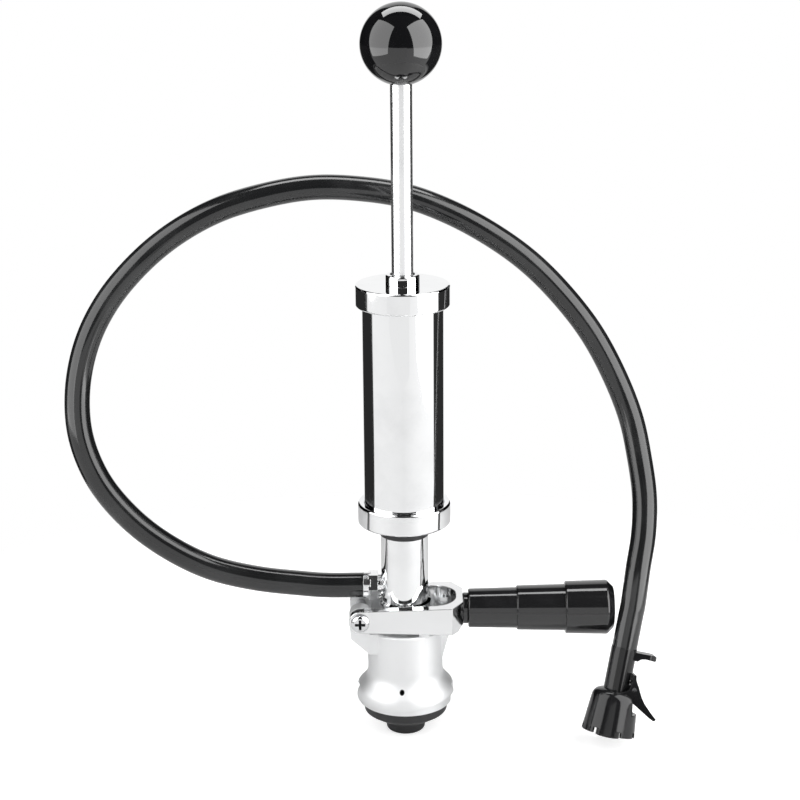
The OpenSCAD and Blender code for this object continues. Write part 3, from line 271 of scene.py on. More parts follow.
class Lay(Enum):
    """The way that a piece was turned or drawn, which its fine lines follow."""

    ROUND_Z = (0.02, 0.02, 1.0)
    ROUND_X = (1.0, 0.02, 0.02)
    ROUND_Y = (0.02, 1.0, 0.02)
    CAST = (1.0, 1.0, 1.0)


@dataclass(frozen=True)
class Plate:
    """Bright plated or plain metal, with polishing lines, cloudy haze and faint spots."""

    name: str
    tint: Colour
    shade: Colour
    roughness: float
    haze: float
    lines: float
    lay: Lay = Lay.CAST
    edge_mm: float = 0.0
    ripple: float = 0.0
    clouds_per_m: ClassVar[float] = 45.0
    grain_per_m: ClassVar[float] = 2600.0
    spots_per_m: ClassVar[float] = 420.0
    ripples_per_m: ClassVar[float] = 160.0
    cloud_share: ClassVar[float] = 0.7
    spot_share: ClassVar[float] = 0.12
    spot_dull: ClassVar[float] = 0.05
    hole_dull: ClassVar[float] = 0.0

    def hole(self, g: Graph) -> Sock | None:
        """Return the mask of painted shade in a hole or recess of the metal, or None where it has none."""
        return None

    def make(self) -> bpy.types.Material:
        """Build the material, with painted shade and more roughness where it has a hole, and return it."""
        material, g = new_material(self.name)
        where = g.spot()
        worn = g.noise(where, self.clouds_per_m, 4.0, 0.55).ease(0.42, 0.72)
        grain = g.noise(g.spot(self.lay.value), self.grain_per_m, 2.0, 0.6)
        spots = 1 - g.cells(where, self.spots_per_m).ease(0.02, 0.09)
        colour = g.mix(worn * self.cloud_share + spots * self.spot_share, self.tint, self.shade)
        rough = self.roughness + self.haze * worn + self.lines * 0.4 * (grain - 0.5) + self.spot_dull * spots
        # Painted shade: where the hole's mask is set, the colour is darkened towards the painted shade colour.
        dark = self.hole(g)
        if dark is not None:
            colour = g.mix(dark, colour, HOLE_PAINTED_SHADE)
            rough = rough + self.hole_dull * dark
        height = grain * self.lines + g.noise(where, self.ripples_per_m, 2.0) * self.ripple
        normal = g.bump(height, 0.35, 0.02, g.soft_edges(self.edge_mm))
        g.surface(Base_Color=colour, Metallic=1.0, Roughness=rough, Normal=normal)
        return material


@dataclass(frozen=True)
class CrossHead(Plate):
    """Plain metal with painted shade in its cross recess, which lies at a depth behind the head's face."""

    centre_mm: Colour = (0.0, 0.0, 0.0)
    reach_mm: float = 0.0
    floor_mm: float = 0.0
    face_mm: float = 0.0
    soft_mm: ClassVar[float] = 0.2
    cloud_share: ClassVar[float] = 1.0
    spot_share: ClassVar[float] = 0.0
    spot_dull: ClassVar[float] = 0.0
    hole_dull: ClassVar[float] = 0.35

    def hole(self, g: Graph) -> Sock:
        """Return the mask of painted shade in the recess: within its reach, and between its floor and the face."""
        x, y, z = g.split(g.spot())
        away = ((x - self.centre_mm[0] * MM) ** 2.0 + (z - self.centre_mm[2] * MM) ** 2.0).root()
        deep = (-y).band(self.floor_mm * MM, self.face_mm * MM, 0.5 * self.soft_mm * MM)
        return deep * (1 - away.ease(self.reach_mm * MM, (self.reach_mm + self.soft_mm) * MM))


@dataclass(frozen=True)
class Drilled(Plate):
    """Plated metal with a small hole in its front, a little to one side of the middle, with painted shade in the hole
    and on the rim of its mouth.
    """

    rise_mm: float = 11.4
    turn_deg: float = 5.0
    hole_mm: float = 1.8
    front_mm: ClassVar[float] = 1.0
    spot_share: ClassVar[float] = 0.0
    spot_dull: ClassVar[float] = 0.0
    hole_dull: ClassVar[float] = 0.3

    def hole(self, g: Graph) -> Sock:
        """Return the mask of painted shade in the hole and on the soft rim of its mouth, on the front only."""
        x, y, z = g.split(g.spot())
        turn = self.turn_deg * DEGREE
        aside = x * math.cos(turn) - y * math.sin(turn)
        away = (aside ** 2.0 + (z - self.rise_mm * MM) ** 2.0).root()
        # Painted shade: it reaches a little past the hole's own radius, round its mouth.
        mouth = 1 - away.ease(0.55 * self.hole_mm * MM, 0.75 * self.hole_mm * MM)
        return mouth * (-y).ease(0.0, self.front_mm * MM)


@dataclass(frozen=True)
class Gloss:
    """Polished black resin: a deep colour under a clear, slightly wavy skin with hair lines."""

    name: str
    deep: Colour
    dust: Colour
    roughness: float
    scuff: float
    coat: float
    edge_mm: float = 0.0
    ior: float = 1.5

    def make(self) -> bpy.types.Material:
        """Build the material and return it."""
        material, g = new_material(self.name)
        where = g.spot()
        cloud = g.noise(where, 55.0, 4.0, 0.6).ease(0.45, 0.75)
        hair = g.noise(g.spot((6.0, 1.0, 1.0), (0.3, 0.6, 0.2)), 900.0, 3.0, 0.7).ease(0.62, 0.8)
        skin = g.noise(where, 240.0, 2.0)
        colour = g.mix(cloud * 0.6 + hair * 0.25, self.deep, self.dust)
        g.surface(Base_Color=colour, Roughness=self.roughness + self.scuff * (cloud * 0.6 + hair * 0.4),
                  IOR=self.ior, Coat_Weight=self.coat, Coat_Roughness=0.03,
                  Normal=g.bump(skin, 0.25, 0.012, g.soft_edges(self.edge_mm)))
        return material


@dataclass(frozen=True)
class Moulded:
    """Moulded black plastic or rubber: a fine grain with a dusty bloom in patches."""

    name: str
    deep: Colour
    bloom: Colour
    roughness: float
    grain_per_m: float
    grain_mm: float
    patch: float
    edge_mm: float = 0.0

    def make(self) -> bpy.types.Material:
        """Build the material and return it."""
        material, g = new_material(self.name)
        where = g.spot()
        cloud = g.noise(where, 80.0, 5.0, 0.6).ease(0.4, 0.75)
        grain = g.noise(where, self.grain_per_m, 3.0, 0.6)
        flow = g.noise(g.spot((0.15, 1.0, 1.0), (0.0, 0.4, 0.5)), 420.0, 3.0).ease(0.5, 0.8)
        colour = g.mix(cloud * self.patch + flow * 0.2, self.deep, self.bloom)
        rough = self.roughness + 0.14 * (grain - 0.5) + 0.1 * cloud
        g.surface(Base_Color=colour, Roughness=rough, IOR=1.5,
                  Normal=g.bump(grain + flow * 0.4, 0.5, self.grain_mm, g.soft_edges(self.edge_mm)))
        return material


@dataclass(frozen=True)
class Vinyl:
    """Dark extruded vinyl: flow lines along the hose, a soft ripple round it and a dusty bloom."""

    name: str
    deep: Colour
    bloom: Colour
    roughness: float

    def make(self) -> bpy.types.Material:
        """Build the material, which reads the hose's own UV map, and return it."""
        material, g = new_material(self.name)
        flat = g.node("ShaderNodeUVMap", {"uv_map": "UVMap"}).out(0)
        along = g.node("ShaderNodeMapping", {"vector_type": "POINT"},
                       {"Vector": flat, "Scale": (6.0, 26.0, 1.0)}).out(0)
        lines = g.noise(along, 1.0, 4.0, 0.65)
        where = g.spot()
        cloud = g.noise(where, 38.0, 4.0, 0.6).ease(0.42, 0.74)
        pores = g.noise(where, 1500.0, 2.0)
        colour = g.mix(cloud * 0.55 + lines.ease(0.5, 0.75) * 0.3, self.deep, self.bloom)
        rough = self.roughness + 0.08 * cloud + 0.06 * (lines - 0.5)
        height = lines * 0.8 + pores * 0.25 + g.noise(where, 110.0, 2.0)
        g.surface(Base_Color=colour, Roughness=rough, IOR=1.52, Coat_Weight=0.25, Coat_Roughness=0.06,
                  Normal=g.bump(height, 0.3, 0.04))
        return material


@dataclass
class Surface:
    """A mesh as whole arrays: points, faces, and normals or a UV map where it has them."""

    points: np.ndarray
    faces: list[np.ndarray]
    normals: np.ndarray | None = None
    uv: np.ndarray | None = None

    def moved(self, turn: np.ndarray, shift: Sequence[float]) -> "Surface":
        """Return the surface turned by a 3 x 3 matrix and then shifted.

        Args:
            turn: Rotation matrix.
            shift: Shift in millimetres.

        Returns:
            The placed surface.
        """
        normals = None if self.normals is None else self.normals @ turn.T
        return Surface(self.points @ turn.T + np.asarray(shift, float), self.faces, normals, self.uv)

    def mesh(self, name: str) -> bpy.types.Mesh:
        """Put the arrays into a Blender mesh in metres and return it."""
        made = bpy.data.meshes.new(name)
        corners = [face for block in self.faces for face in block.tolist()]
        made.from_pydata((self.points * MM).tolist(), [], corners)
        made.polygons.foreach_set("use_smooth", np.ones(len(made.polygons), bool))
        if self.uv is not None:
            index = np.empty(len(made.loops), np.int32)
            made.loops.foreach_get("vertex_index", index)
            made.uv_layers.new(name="UVMap").data.foreach_set("uv", self.uv[index].astype(np.float32).ravel())
        if self.normals is not None:
            made.normals_split_custom_set_from_vertices(self.normals.tolist())
        made.update()
        return made


def unit(vectors: np.ndarray) -> np.ndarray:
    """Return vectors of length 1 along the last axis."""
    return vectors / np.linalg.norm(vectors, axis=-1, keepdims=True)


def run_along(line: np.ndarray) -> np.ndarray:
    """Return the length of a line up to each of its points."""
    return np.concatenate([[0.0], np.cumsum(np.linalg.norm(np.diff(line, axis=0), axis=1))])


def places(mesh: bpy.types.Mesh) -> np.ndarray:
    """Return a mesh's points in metres, one row each."""
    place = np.empty(len(mesh.vertices) * 3, np.float32)
    mesh.vertices.foreach_get("co", place)
    return place.reshape(-1, 3).astype(float)


def add_object(name: str, data: Any) -> bpy.types.Object:
    """Make an object of a mesh, light or camera, put it into the scene and return it."""
    made = bpy.data.objects.new(name, data)
    bpy.context.scene.collection.objects.link(made)
    return made


@dataclass
class Profile:
    """A line in the plane of radius and height, with the normal at each of its points."""

    points: np.ndarray
    normals: np.ndarray

    def joined(self, other: "Profile") -> "Profile":
        """Return this line with another one after it."""
        return Profile(np.vstack([self.points, other.points]), np.vstack([self.normals, other.normals]))


def rounded(corners: Sequence[Sequence[float]], radii: Union[float, Sequence[float]], steps: int = 7,
            closed: bool = True) -> Profile:
    """Round the corners of an outline that runs anticlockwise.

    With h half the angle between a corner's two sides, the arc of radius r has its centre on the bisector at
    r / sin h from the corner and touches the sides at r / tan h. Its points turn evenly from one side to the other:
    centre + r (a sin((1 - s) w) + b sin(s w)) / sin w, with a and b the unit vectors to the two touching points and
    w the angle between them.

    Args:
        corners: Corner points as radius and height.
        radii: One radius for all corners, or one for each.
        steps: Steps in each arc.
        closed: False for a line that starts and ends on the axis, whose two ends stay sharp.

    Returns:
        The rounded line with its outward normals.
    """
    p = np.asarray(corners, float)
    r = np.broadcast_to(np.asarray(radii, float), (len(p),))
    back, ahead = unit(np.roll(p, 1, 0) - p), unit(np.roll(p, -1, 0) - p)
    half = np.arccos(np.clip((back * ahead).sum(1), -1, 1)) / 2
    centre = p + unit(back + ahead) * (r / np.sin(half))[:, None]
    reach = (r / np.tan(half))[:, None]
    a, b = unit(p + back * reach - centre), unit(p + ahead * reach - centre)
    wide = np.arccos(np.clip((a * b).sum(1), -1, 1))[:, None, None]
    s = np.linspace(0, 1, steps + 1)[None, :, None]
    ray = (a[:, None] * np.sin((1 - s) * wide) + b[:, None] * np.sin(s * wide)) / np.sin(wide)
    line = centre[:, None] + r[:, None, None] * ray
    turn = np.sign(-back[:, 0] * ahead[:, 1] + back[:, 1] * ahead[:, 0])[:, None, None]
    normal = ray * turn
    if closed:
        return Profile(line.reshape(-1, 2), normal.reshape(-1, 2))
    first = np.array([[ahead[0, 1], -ahead[0, 0]]])
    last = np.array([[-back[-1, 1], back[-1, 0]]])
    return Profile(np.vstack([p[:1], line[1:-1].reshape(-1, 2), p[-1:]]),
                   np.vstack([first, normal[1:-1].reshape(-1, 2), last]))


def grid_faces(index: np.ndarray) -> list[np.ndarray]:
    """Turn a grid of point numbers into faces.

    Each cell gives the corners (i, k), (i, k + 1), (i + 1, k + 1), (i + 1, k). A row that holds one number all
    along is a pole, and its cells are triangles.

    Args:
        index: Point numbers, rows along the line and columns round it, with the first column repeated last.

    Returns:
        A block of quads and a block of triangles.
    """
    a, b, c, d = index[:-1, :-1], index[:-1, 1:], index[1:, 1:], index[1:, :-1]
    cells = np.stack([a, b, c, d], -1).reshape(-1, 4)
    low, high = cells[:, 0] == cells[:, 1], cells[:, 2] == cells[:, 3]
    triangles = np.vstack([cells[low][:, [0, 2, 3]], cells[high & ~low][:, [0, 1, 2]]])
    return [cells[~low & ~high], triangles]


def revolve(profile: Profile, around: int = 128, closed: bool = True) -> Surface:
    """Turn a profile round the Z axis: (radius cos a, radius sin a, height) for every angle a.

    Args:
        profile: Line of radius and height, anticlockwise, with its normals.
        around: Points on each circle.
        closed: True where the line closes on itself, False where it runs from pole to pole.

    Returns:
        The closed surface, with its poles as single points.
    """
    angle = 2 * np.pi * np.arange(around) / around
    turn = np.stack([np.cos(angle), np.sin(angle)], -1)
    pole = profile.points[:, 0] < POLE_MM
    count = np.where(pole, 1, around)
    start = np.concatenate([[0], np.cumsum(count)])
    column = np.arange(around + 1) % around
    index = start[:-1, None] + np.where(pole[:, None], 0, column[None])
    rows = np.repeat(np.arange(len(pole)), count)
    spot = turn[np.arange(start[-1]) - start[rows]]
    points = np.column_stack([profile.points[rows, :1] * spot, profile.points[rows, 1]])
    normals = np.column_stack([profile.normals[rows, :1] * spot, profile.normals[rows, 1]])
    return Surface(points, grid_faces(np.vstack([index, index[:1]]) if closed else index), unit(normals))


def spline(points: np.ndarray, before: np.ndarray, after: np.ndarray, cuts: int) -> np.ndarray:
    """Draw a smooth line through points.

    Between b and c, with a before and d after them, the line is
    (2b + (c - a) t + (2a - 5b + 4c - d) t^2 + (3b - a - 3c + d) t^3) / 2 for t from 0 to 1.

    Args:
        points: Points on the line.
        before: Point that leads into the first.
        after: Point that leads out of the last.
        cuts: Steps between two points.

    Returns:
        The line's points.
    """
    full = np.vstack([before[None], points, after[None]])
    a, b, c, d = full[:-3, None], full[1:-2, None], full[2:-1, None], full[3:, None]
    t = np.linspace(0, 1, cuts, endpoint=False)[None, :, None]
    line = (2 * b + (c - a) * t + (2 * a - 5 * b + 4 * c - d) * t ** 2 + (3 * b - a - 3 * c + d) * t ** 3) / 2
    return np.vstack([line.reshape(-1, 3), points[-1:]])


def sweep_tube(line: np.ndarray, outer: float, bore: float, around: int = 40) -> Surface:
    """Carry a ring along a line as a tube with a wall.

    With w the line's direction, u = w x Y and v = w x u are square to it, and the wall's points are
    line + radius (u cos a + v sin a). The outer wall runs out along the line and the bore runs back.

    Args:
        line: Points of the middle line.
        outer: Outer radius.
        bore: Radius of the bore.
        around: Points on each ring.

    Returns:
        The closed tube with a UV map: the share of the length and the share of the turn.
    """
    way = unit(np.gradient(line, axis=0))
    u = unit(np.cross(way, np.array([0.0, 1.0, 0.0])))
    v = np.cross(way, u)
    angle = 2 * np.pi * np.arange(around + 1) / around
    ring = u[:, None] * np.cos(angle)[None, :, None] + v[:, None] * np.sin(angle)[None, :, None]
    out = line[:, None] + outer * ring
    inner = (line[:, None] + bore * ring)[::-1]
    normals = np.concatenate([ring, -ring[::-1]])
    points = np.concatenate([out, inner])[:, :-1]
    rows = len(points)
    column = np.arange(around + 1) % around
    index = (np.arange(rows) * around)[:, None] + column[None]
    cells = grid_faces(np.vstack([index, index[:1]]))
    run = run_along(line)
    share = np.concatenate([run, run[::-1]]) / run[-1]
    uv = np.stack([np.repeat(share, around), np.tile(np.abs(2 * np.arange(around) / around - 1), rows)], -1)
    return Surface(points.reshape(-1, 3), cells, normals[:, :-1].reshape(-1, 3), uv)


@dataclass
class Workshop:
    """Holds the frame and the finishes, and turns surfaces into pieces."""

    frame: dict[str, Any]
    materials: dict[str, bpy.types.Material] = field(default_factory=dict)
    made: list[str] = field(default_factory=list)

    def finish(self, recipe: Any) -> bpy.types.Material:
        """Return a finish's material, made on its first use."""
        if recipe.name not in self.materials:
            self.materials[recipe.name] = recipe.make()
        return self.materials[recipe.name]

    def piece(self, name: str, surface: Surface, recipe: Any, node: str) -> bpy.types.Object:
        """Make a piece that stands for a solid node, on the body that the record gives the node.

        Args:
            name: Name of the piece.
            surface: The mesh's arrays, in millimetres.
            recipe: The finish.
            node: The node that the piece replaces.

        Returns:
            The new object.
        """
        record = self.frame["record"]
        body = next(carrier for carrier, held in record["behaviour"]["bodies"].items() if node in held)
        made = add_object(name, surface.mesh(name))
        made.data.materials.append(self.finish(recipe))
        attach(made, body)
        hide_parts(node)
        self.made.append(name)
        log.info("piece %s: %d faces on %s", name, len(made.data.polygons), body)
        return made

    def dress(self, recipe: Any, *nodes: str) -> None:
        """Give solid nodes a finish."""
        for name in nodes:
            data = self.frame["nodes"][name].data
            data.materials.clear()
            data.materials.append(self.finish(recipe))
            log.info("node %s: %s", name, recipe.name)

    def smooth_copy(self, node: str, piece: str, recipe: Any, sharp_deg: float = 32.0) -> bpy.types.Object:
        """Replace a solid node by its own merged mesh, smooth up to a sharp angle.

        Args:
            node: The node that is copied.
            piece: Name of the new piece.
            recipe: The finish.
            sharp_deg: Edges that turn more than this stay sharp.

        Returns:
            The new object.
        """
        data = self.frame["nodes"][node].data
        place = places(data)
        corner = np.empty(len(data.loops), np.int32)
        data.loops.foreach_get("vertex_index", corner)
        grid = np.round(place / WELD_M).astype(np.int64)
        _, first, number = np.unique(grid, axis=0, return_index=True, return_inverse=True)
        faces = number.ravel()[corner].reshape(-1, 3)
        whole = (faces[:, 0] != faces[:, 1]) & (faces[:, 1] != faces[:, 2]) & (faces[:, 0] != faces[:, 2])
        made = self.piece(piece, Surface(place[first] / MM, [faces[whole]]), recipe, node)
        made.data.set_sharp_from_angle(angle=math.radians(sharp_deg))
        return made

    def coil(self, node: str, piece: str, recipe: Any) -> None:
        """Replace a spring by its own merged mesh and give the piece a mesh of its own. The spring's fixed end along
        its joint is found, but the mesh is not shortened.

        Args:
            node: The spring's node, which the record lets deform.
            piece: Name of the new piece.
            recipe: The finish.
        """
        made = self.smooth_copy(node, piece, recipe)
        joint, bent = next((j, b) for j in self.frame["record"]["behaviour"]["joints"]
                           for b in j.get("deforming_nodes", ()) if b["node"] == node)
        points = places(made.data)
        axis = unit(np.asarray(joint["axis"], float))
        along = points @ axis
        ends = np.array([along.argmin(), along.argmax()])
        fixed = along[ends[np.abs(points[ends, 2] - bent["fixed_end_z_m"]).argmin()]]
        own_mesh(made)


ALONG_X = np.array([[0.0, 0.0, 1.0], [0.0, 1.0, 0.0], [-1.0, 0.0, 0.0]])

BRIGHT = (0.86, 0.865, 0.87)
CLOUDED = (0.78, 0.785, 0.79)
TURNED_CHROME = Plate("turned_chrome", BRIGHT, CLOUDED, 0.03, 0.035, 0.05, Lay.ROUND_Z)
ROD_CHROME = Plate("rod_chrome", BRIGHT, CLOUDED, 0.22, 0.035, 0.05, Lay.ROUND_Z)
BODY_CHROME = Drilled("body_chrome", (0.81, 0.815, 0.82), (0.75, 0.755, 0.76), 0.55, 0.05, 0.04, Lay.CAST, 0.45,
                      0.5)
YOKE_CHROME = Plate("yoke_chrome", (0.81, 0.815, 0.82), (0.76, 0.765, 0.77), 0.1, 0.05, 0.04, Lay.CAST, 0.7, 0.5)
SIDE_CHROME = Plate("outlet_chrome", BRIGHT, CLOUDED, 0.16, 0.05, 0.06, Lay.ROUND_X, 0.25)
PLAIN_STEEL = Plate("plain_steel", (0.62, 0.625, 0.64), (0.48, 0.48, 0.49), 0.2, 0.12, 0.2, Lay.ROUND_Z, 0.15)
SCREW_STEEL = Plate("screw_steel", (0.72, 0.725, 0.74), (0.55, 0.55, 0.56), 0.12, 0.1, 0.15, Lay.ROUND_Y, 0.2)
CROSS_STEEL = CrossHead("cross_steel", (0.74, 0.745, 0.76), (0.58, 0.58, 0.59), 0.1, 0.08, 0.15, Lay.ROUND_Y, 0.2,
                        0.0, (-21.4, 0.0, 46.6), 2.7, 18.2, 19.9)
STUD_STEEL = Plate("stud_steel", (0.62, 0.625, 0.64), (0.48, 0.48, 0.49), 0.2, 0.12, 0.2, Lay.ROUND_X, 0.15)
TURNED_BRASS = Plate("turned_brass", (0.80, 0.60, 0.27), (0.62, 0.44, 0.19), 0.18, 0.14, 0.2, Lay.ROUND_Z, 0.15)
KNOB_BLACK = Gloss("knob_black", (0.004, 0.004, 0.0045), (0.008, 0.008, 0.009), 0.045, 0.05, 0.0, 0.0, 1.65)
GRIP_BLACK = Gloss("grip_black", (0.0085, 0.0085, 0.009), (0.016, 0.016, 0.017), 0.09, 0.08, 0.1, ior=1.6)
TAP_BLACK = Gloss("tap_black", (0.007, 0.007, 0.0075), (0.014, 0.014, 0.015), 0.11, 0.08, 0.0, 0.35, 1.44)
SEAL_RUBBER = Moulded("seal_rubber", (0.012, 0.012, 0.013), (0.032, 0.032, 0.033), 0.38, 1800.0, 0.03, 0.6, 0.3)
RING_RUBBER = Moulded("ring_rubber", (0.011, 0.011, 0.012), (0.03, 0.03, 0.031), 0.35, 2200.0, 0.02, 0.5)
HOSE_VINYL = Vinyl("hose_vinyl", (0.0085, 0.0088, 0.0092), (0.022, 0.0225, 0.023), 0.13)


@dataclass
class HandPump:
    """The knob, rod, gland, caps and barrel."""

    knob_d: float = 37.0
    knob_z: float = 317.5
    knob_flat_d: float = 11.6
    knob_bore_d: float = 10.04
    knob_seat: float = 3.0
    rod_d: float = 10.0
    rod_low_z: float = 200.5
    rod_high_z: float = 302.93
    rod_foot_z: float = 189.8
    rod_end_r: float = 3.2
    rod_end_h: float = 13.0
    cap_d: float = 44.0
    pump_z: float = 91.5
    bottom_cap_h: float = 10.5
    bottom_floor_h: float = 4.5
    barrel_d: float = 38.0
    barrel_bore_d: float = 35.0
    barrel_z: float = 97.0
    barrel_top_z: float = 203.0
    top_cap_z: float = 208.0
    top_cap_h: float = 10.2
    gland_d: float = 15.8
    gland_h: float = 4.6
    thread_d: float = 13.0
    neck_thread_d: float = 19.04
    gland_lip: float = 0.8
    fit_gap: float = 0.02
    slide_gap: float = 0.06

    def knob(self) -> Surface:
        """Return the ball: radius sin t and height cos t of the polar angle t, down to its bored flat."""
        r = self.knob_d / 2
        stop = math.pi - math.asin(self.knob_flat_d / self.knob_d)
        t = np.linspace(stop, 0.0, 90)[1:]
        ball = np.stack([np.sin(t), np.cos(t)], -1)
        ball[-1] = (0.0, 1.0)
        flat_z = self.knob_z + r * math.cos(stop)
        bore = self.knob_bore_d / 2
        seat_z = flat_z + self.knob_seat
        lip = self.knob_flat_d / 2
        mouth = rounded([[0.0, seat_z], [bore, seat_z], [bore, flat_z], [lip, flat_z]], 0.12, 4, False)
        skin = Profile(ball * r + np.array([0.0, self.knob_z]), ball)
        return revolve(mouth.joined(skin), 160, False)

    def top_cap(self) -> Surface:
        """Return the screwed cap: a rounded outline turned round the axis."""
        r, low, top = self.cap_d / 2, self.top_cap_z - self.top_cap_h, self.top_cap_z
        wall, hole, seat = self.barrel_d / 2 + self.fit_gap, self.thread_d / 2, self.barrel_top_z
        outline = [[wall, low], [r, low], [r, top], [hole, top], [hole, seat], [wall, seat]]
        return revolve(rounded(outline, [0.3, 1.1, 0.9, 0.15, 0.15, 0.3]))

    def bottom_cap(self) -> Surface:
        """Return the lower cap: a rounded outline turned round the axis."""
        r, low, top = self.cap_d / 2, self.pump_z, self.pump_z + self.bottom_cap_h
        wall, hole, floor = self.barrel_d / 2 + self.fit_gap, self.neck_thread_d / 2, self.pump_z + self.bottom_floor_h
        outline = [[hole, low], [r, low], [r, top], [wall, top], [wall, floor], [hole, floor]]
        return revolve(rounded(outline, [0.3, 1.2, 1.1, 0.3, 0.3, 0.15]))

    def barrel(self) -> Surface:
        """Return the polished tube: a thin rectangle with softened lips turned round the axis."""
        out, bore = self.barrel_d / 2, self.barrel_bore_d / 2
        outline = [[bore, self.barrel_z], [out, self.barrel_z], [out, self.barrel_top_z], [bore, self.barrel_top_z]]
        return revolve(rounded(outline, 0.25))

    def gland(self) -> Surface:
        """Return the rod's gland: its collar and thread turned round the axis."""
        r, bore, top = self.gland_d / 2, self.rod_d / 2 + self.slide_gap, self.top_cap_z + self.gland_h
        thread, lip = self.thread_d / 2 - self.fit_gap, self.gland_lip
        outline = [[bore, self.barrel_top_z], [thread, self.barrel_top_z], [thread, self.top_cap_z],
                   [r, self.top_cap_z], [r, top], [bore + lip, top], [bore, top - lip]]
        return revolve(rounded(outline, [0.2, 0.2, 0.1, 0.2, 0.9, 0.15, 0.15]))

    def rod(self) -> Surface:
        """Return the polished rod: a long rectangle with soft ends and its two thinner ends."""
        r, thin, foot, head = self.rod_d / 2, self.rod_end_r, self.rod_foot_z, self.rod_high_z + self.rod_end_h
        outline = [[0.0, foot], [thin, foot], [thin, self.rod_low_z], [r, self.rod_low_z],
                   [r, self.rod_high_z], [thin, self.rod_high_z], [thin, head], [0.0, head]]
        soft = [0.1, 0.4, 0.1, 0.2, 0.4, 0.1, 0.5, 0.1]
        return revolve(rounded(outline, soft, 6, False), 96, False)

    def build(self, shop: Workshop) -> None:
        """Make the visible pieces and dress the inner ones."""
        shop.piece("knob_ball", self.knob(), KNOB_BLACK, "knob")
        shop.piece("rod_polished", self.rod(), ROD_CHROME, "pump_rod")
        shop.piece("cap_top", self.top_cap(), TURNED_CHROME, "top_cap")
        shop.piece("cap_bottom", self.bottom_cap(), TURNED_CHROME, "bottom_cap")
        shop.piece("barrel_tube", self.barrel(), TURNED_CHROME, "barrel")
        shop.piece("gland_collar", self.gland(), TURNED_CHROME, "rod_gland")
        shop.dress(TURNED_BRASS, "knob_insert", "valve_seat", "valve_cage")
        shop.dress(PLAIN_STEEL, "piston_plate", "piston_washer", "piston_nut")
        shop.coil("valve_spring", "valve_coil", PLAIN_STEEL)
        shop.dress(RING_RUBBER, "rod_bumper", "piston_cup", "rod_wiper", "barrel_gasket", "valve_disc")


@dataclass
class Coupler:
    """The cast body with its lugs, the seals, the probe's neck and the outlet."""

    seal_d: float = 40.4
    seal_low_d: float = 27.0
    seal_reach: float = 9.5
    seal_wall_h: float = 5.2
    seal_lip: float = 1.2
    plug_d: float = 27.96
    plug_h: float = 5.0
    bore_d: float = 20.12
    tip_d: float = 18.8
    tip_reach: float = 16.2
    tip_top: float = -9.7
    nose_d: float = 14.04
    nose_bore_d: float = 11.4
    nose_reach: float = 15.0
    ring_low_z: float = 85.3
    ring_h: float = 6.2
    ring_d: float = 23.6
    ring_bore_d: float = 19.04

    def bottom_seal(self) -> Surface:
        """Return the keg's seal: a lipped outline turned round the axis."""
        bore, plug = self.bore_d / 2, self.plug_d / 2
        outline = [[bore, self.seal_lip - self.seal_reach], [bore + self.seal_lip, -self.seal_reach],
                   [self.seal_low_d / 2, -self.seal_reach], [self.seal_d / 2, -self.seal_wall_h],
                   [self.seal_d / 2, 0.0], [plug, 0.0], [plug, self.plug_h], [bore, self.plug_h]]
        return revolve(rounded(outline, [0.3, 0.3, 1.6, 1.4, 0.3, 0.1, 0.4, 0.3]))

    def tip_seal(self) -> Surface:
        """Return the probe's tip seal: a bulged washer turned round the axis."""
        bore, r = self.nose_bore_d / 2, self.tip_d / 2
        nose, foot = self.nose_d / 2, -self.nose_reach
        outline = [[bore, -self.tip_reach], [r, -self.tip_reach], [r, self.tip_top], [nose, self.tip_top],
                   [nose, foot], [bore, foot]]
        return revolve(rounded(outline, [0.3, 1.6, 0.5, 0.1, 0.1, 0.1]))

    def neck_ring(self) -> Surface:
        """Return the black ring under the pump: a rounded rectangle turned round the axis."""
        bore, r, low = self.ring_bore_d / 2, self.ring_d / 2, self.ring_low_z
        outline = [[bore, low], [r, low], [r, low + self.ring_h], [bore, low + self.ring_h]]
        return revolve(rounded(outline, [0.1, 0.5, 0.5, 0.1]))

    def build(self, shop: Workshop) -> None:
        """Make the visible pieces and dress the inner ones."""
        shop.smooth_copy("coupler_body", "body_casting", BODY_CHROME)
        shop.smooth_copy("probe", "probe_neck", TURNED_CHROME)
        shop.smooth_copy("outlet_tail", "tail_fitting", SIDE_CHROME)
        shop.piece("seal_lip", self.bottom_seal(), SEAL_RUBBER, "bottom_seal")
        shop.piece("seal_tip", self.tip_seal(), SEAL_RUBBER, "probe_tip_seal")
        shop.piece("ring_neck", self.neck_ring(), RING_RUBBER, "neck_gasket")
        shop.smooth_copy("hinge_screw", "screw_cross", CROSS_STEEL)
        shop.dress(SCREW_STEEL, "hinge_nut")
        shop.dress(RING_RUBBER, "probe_ring_upper", "probe_ring_lower")
        shop.dress(PLAIN_STEEL, "beer_tube")


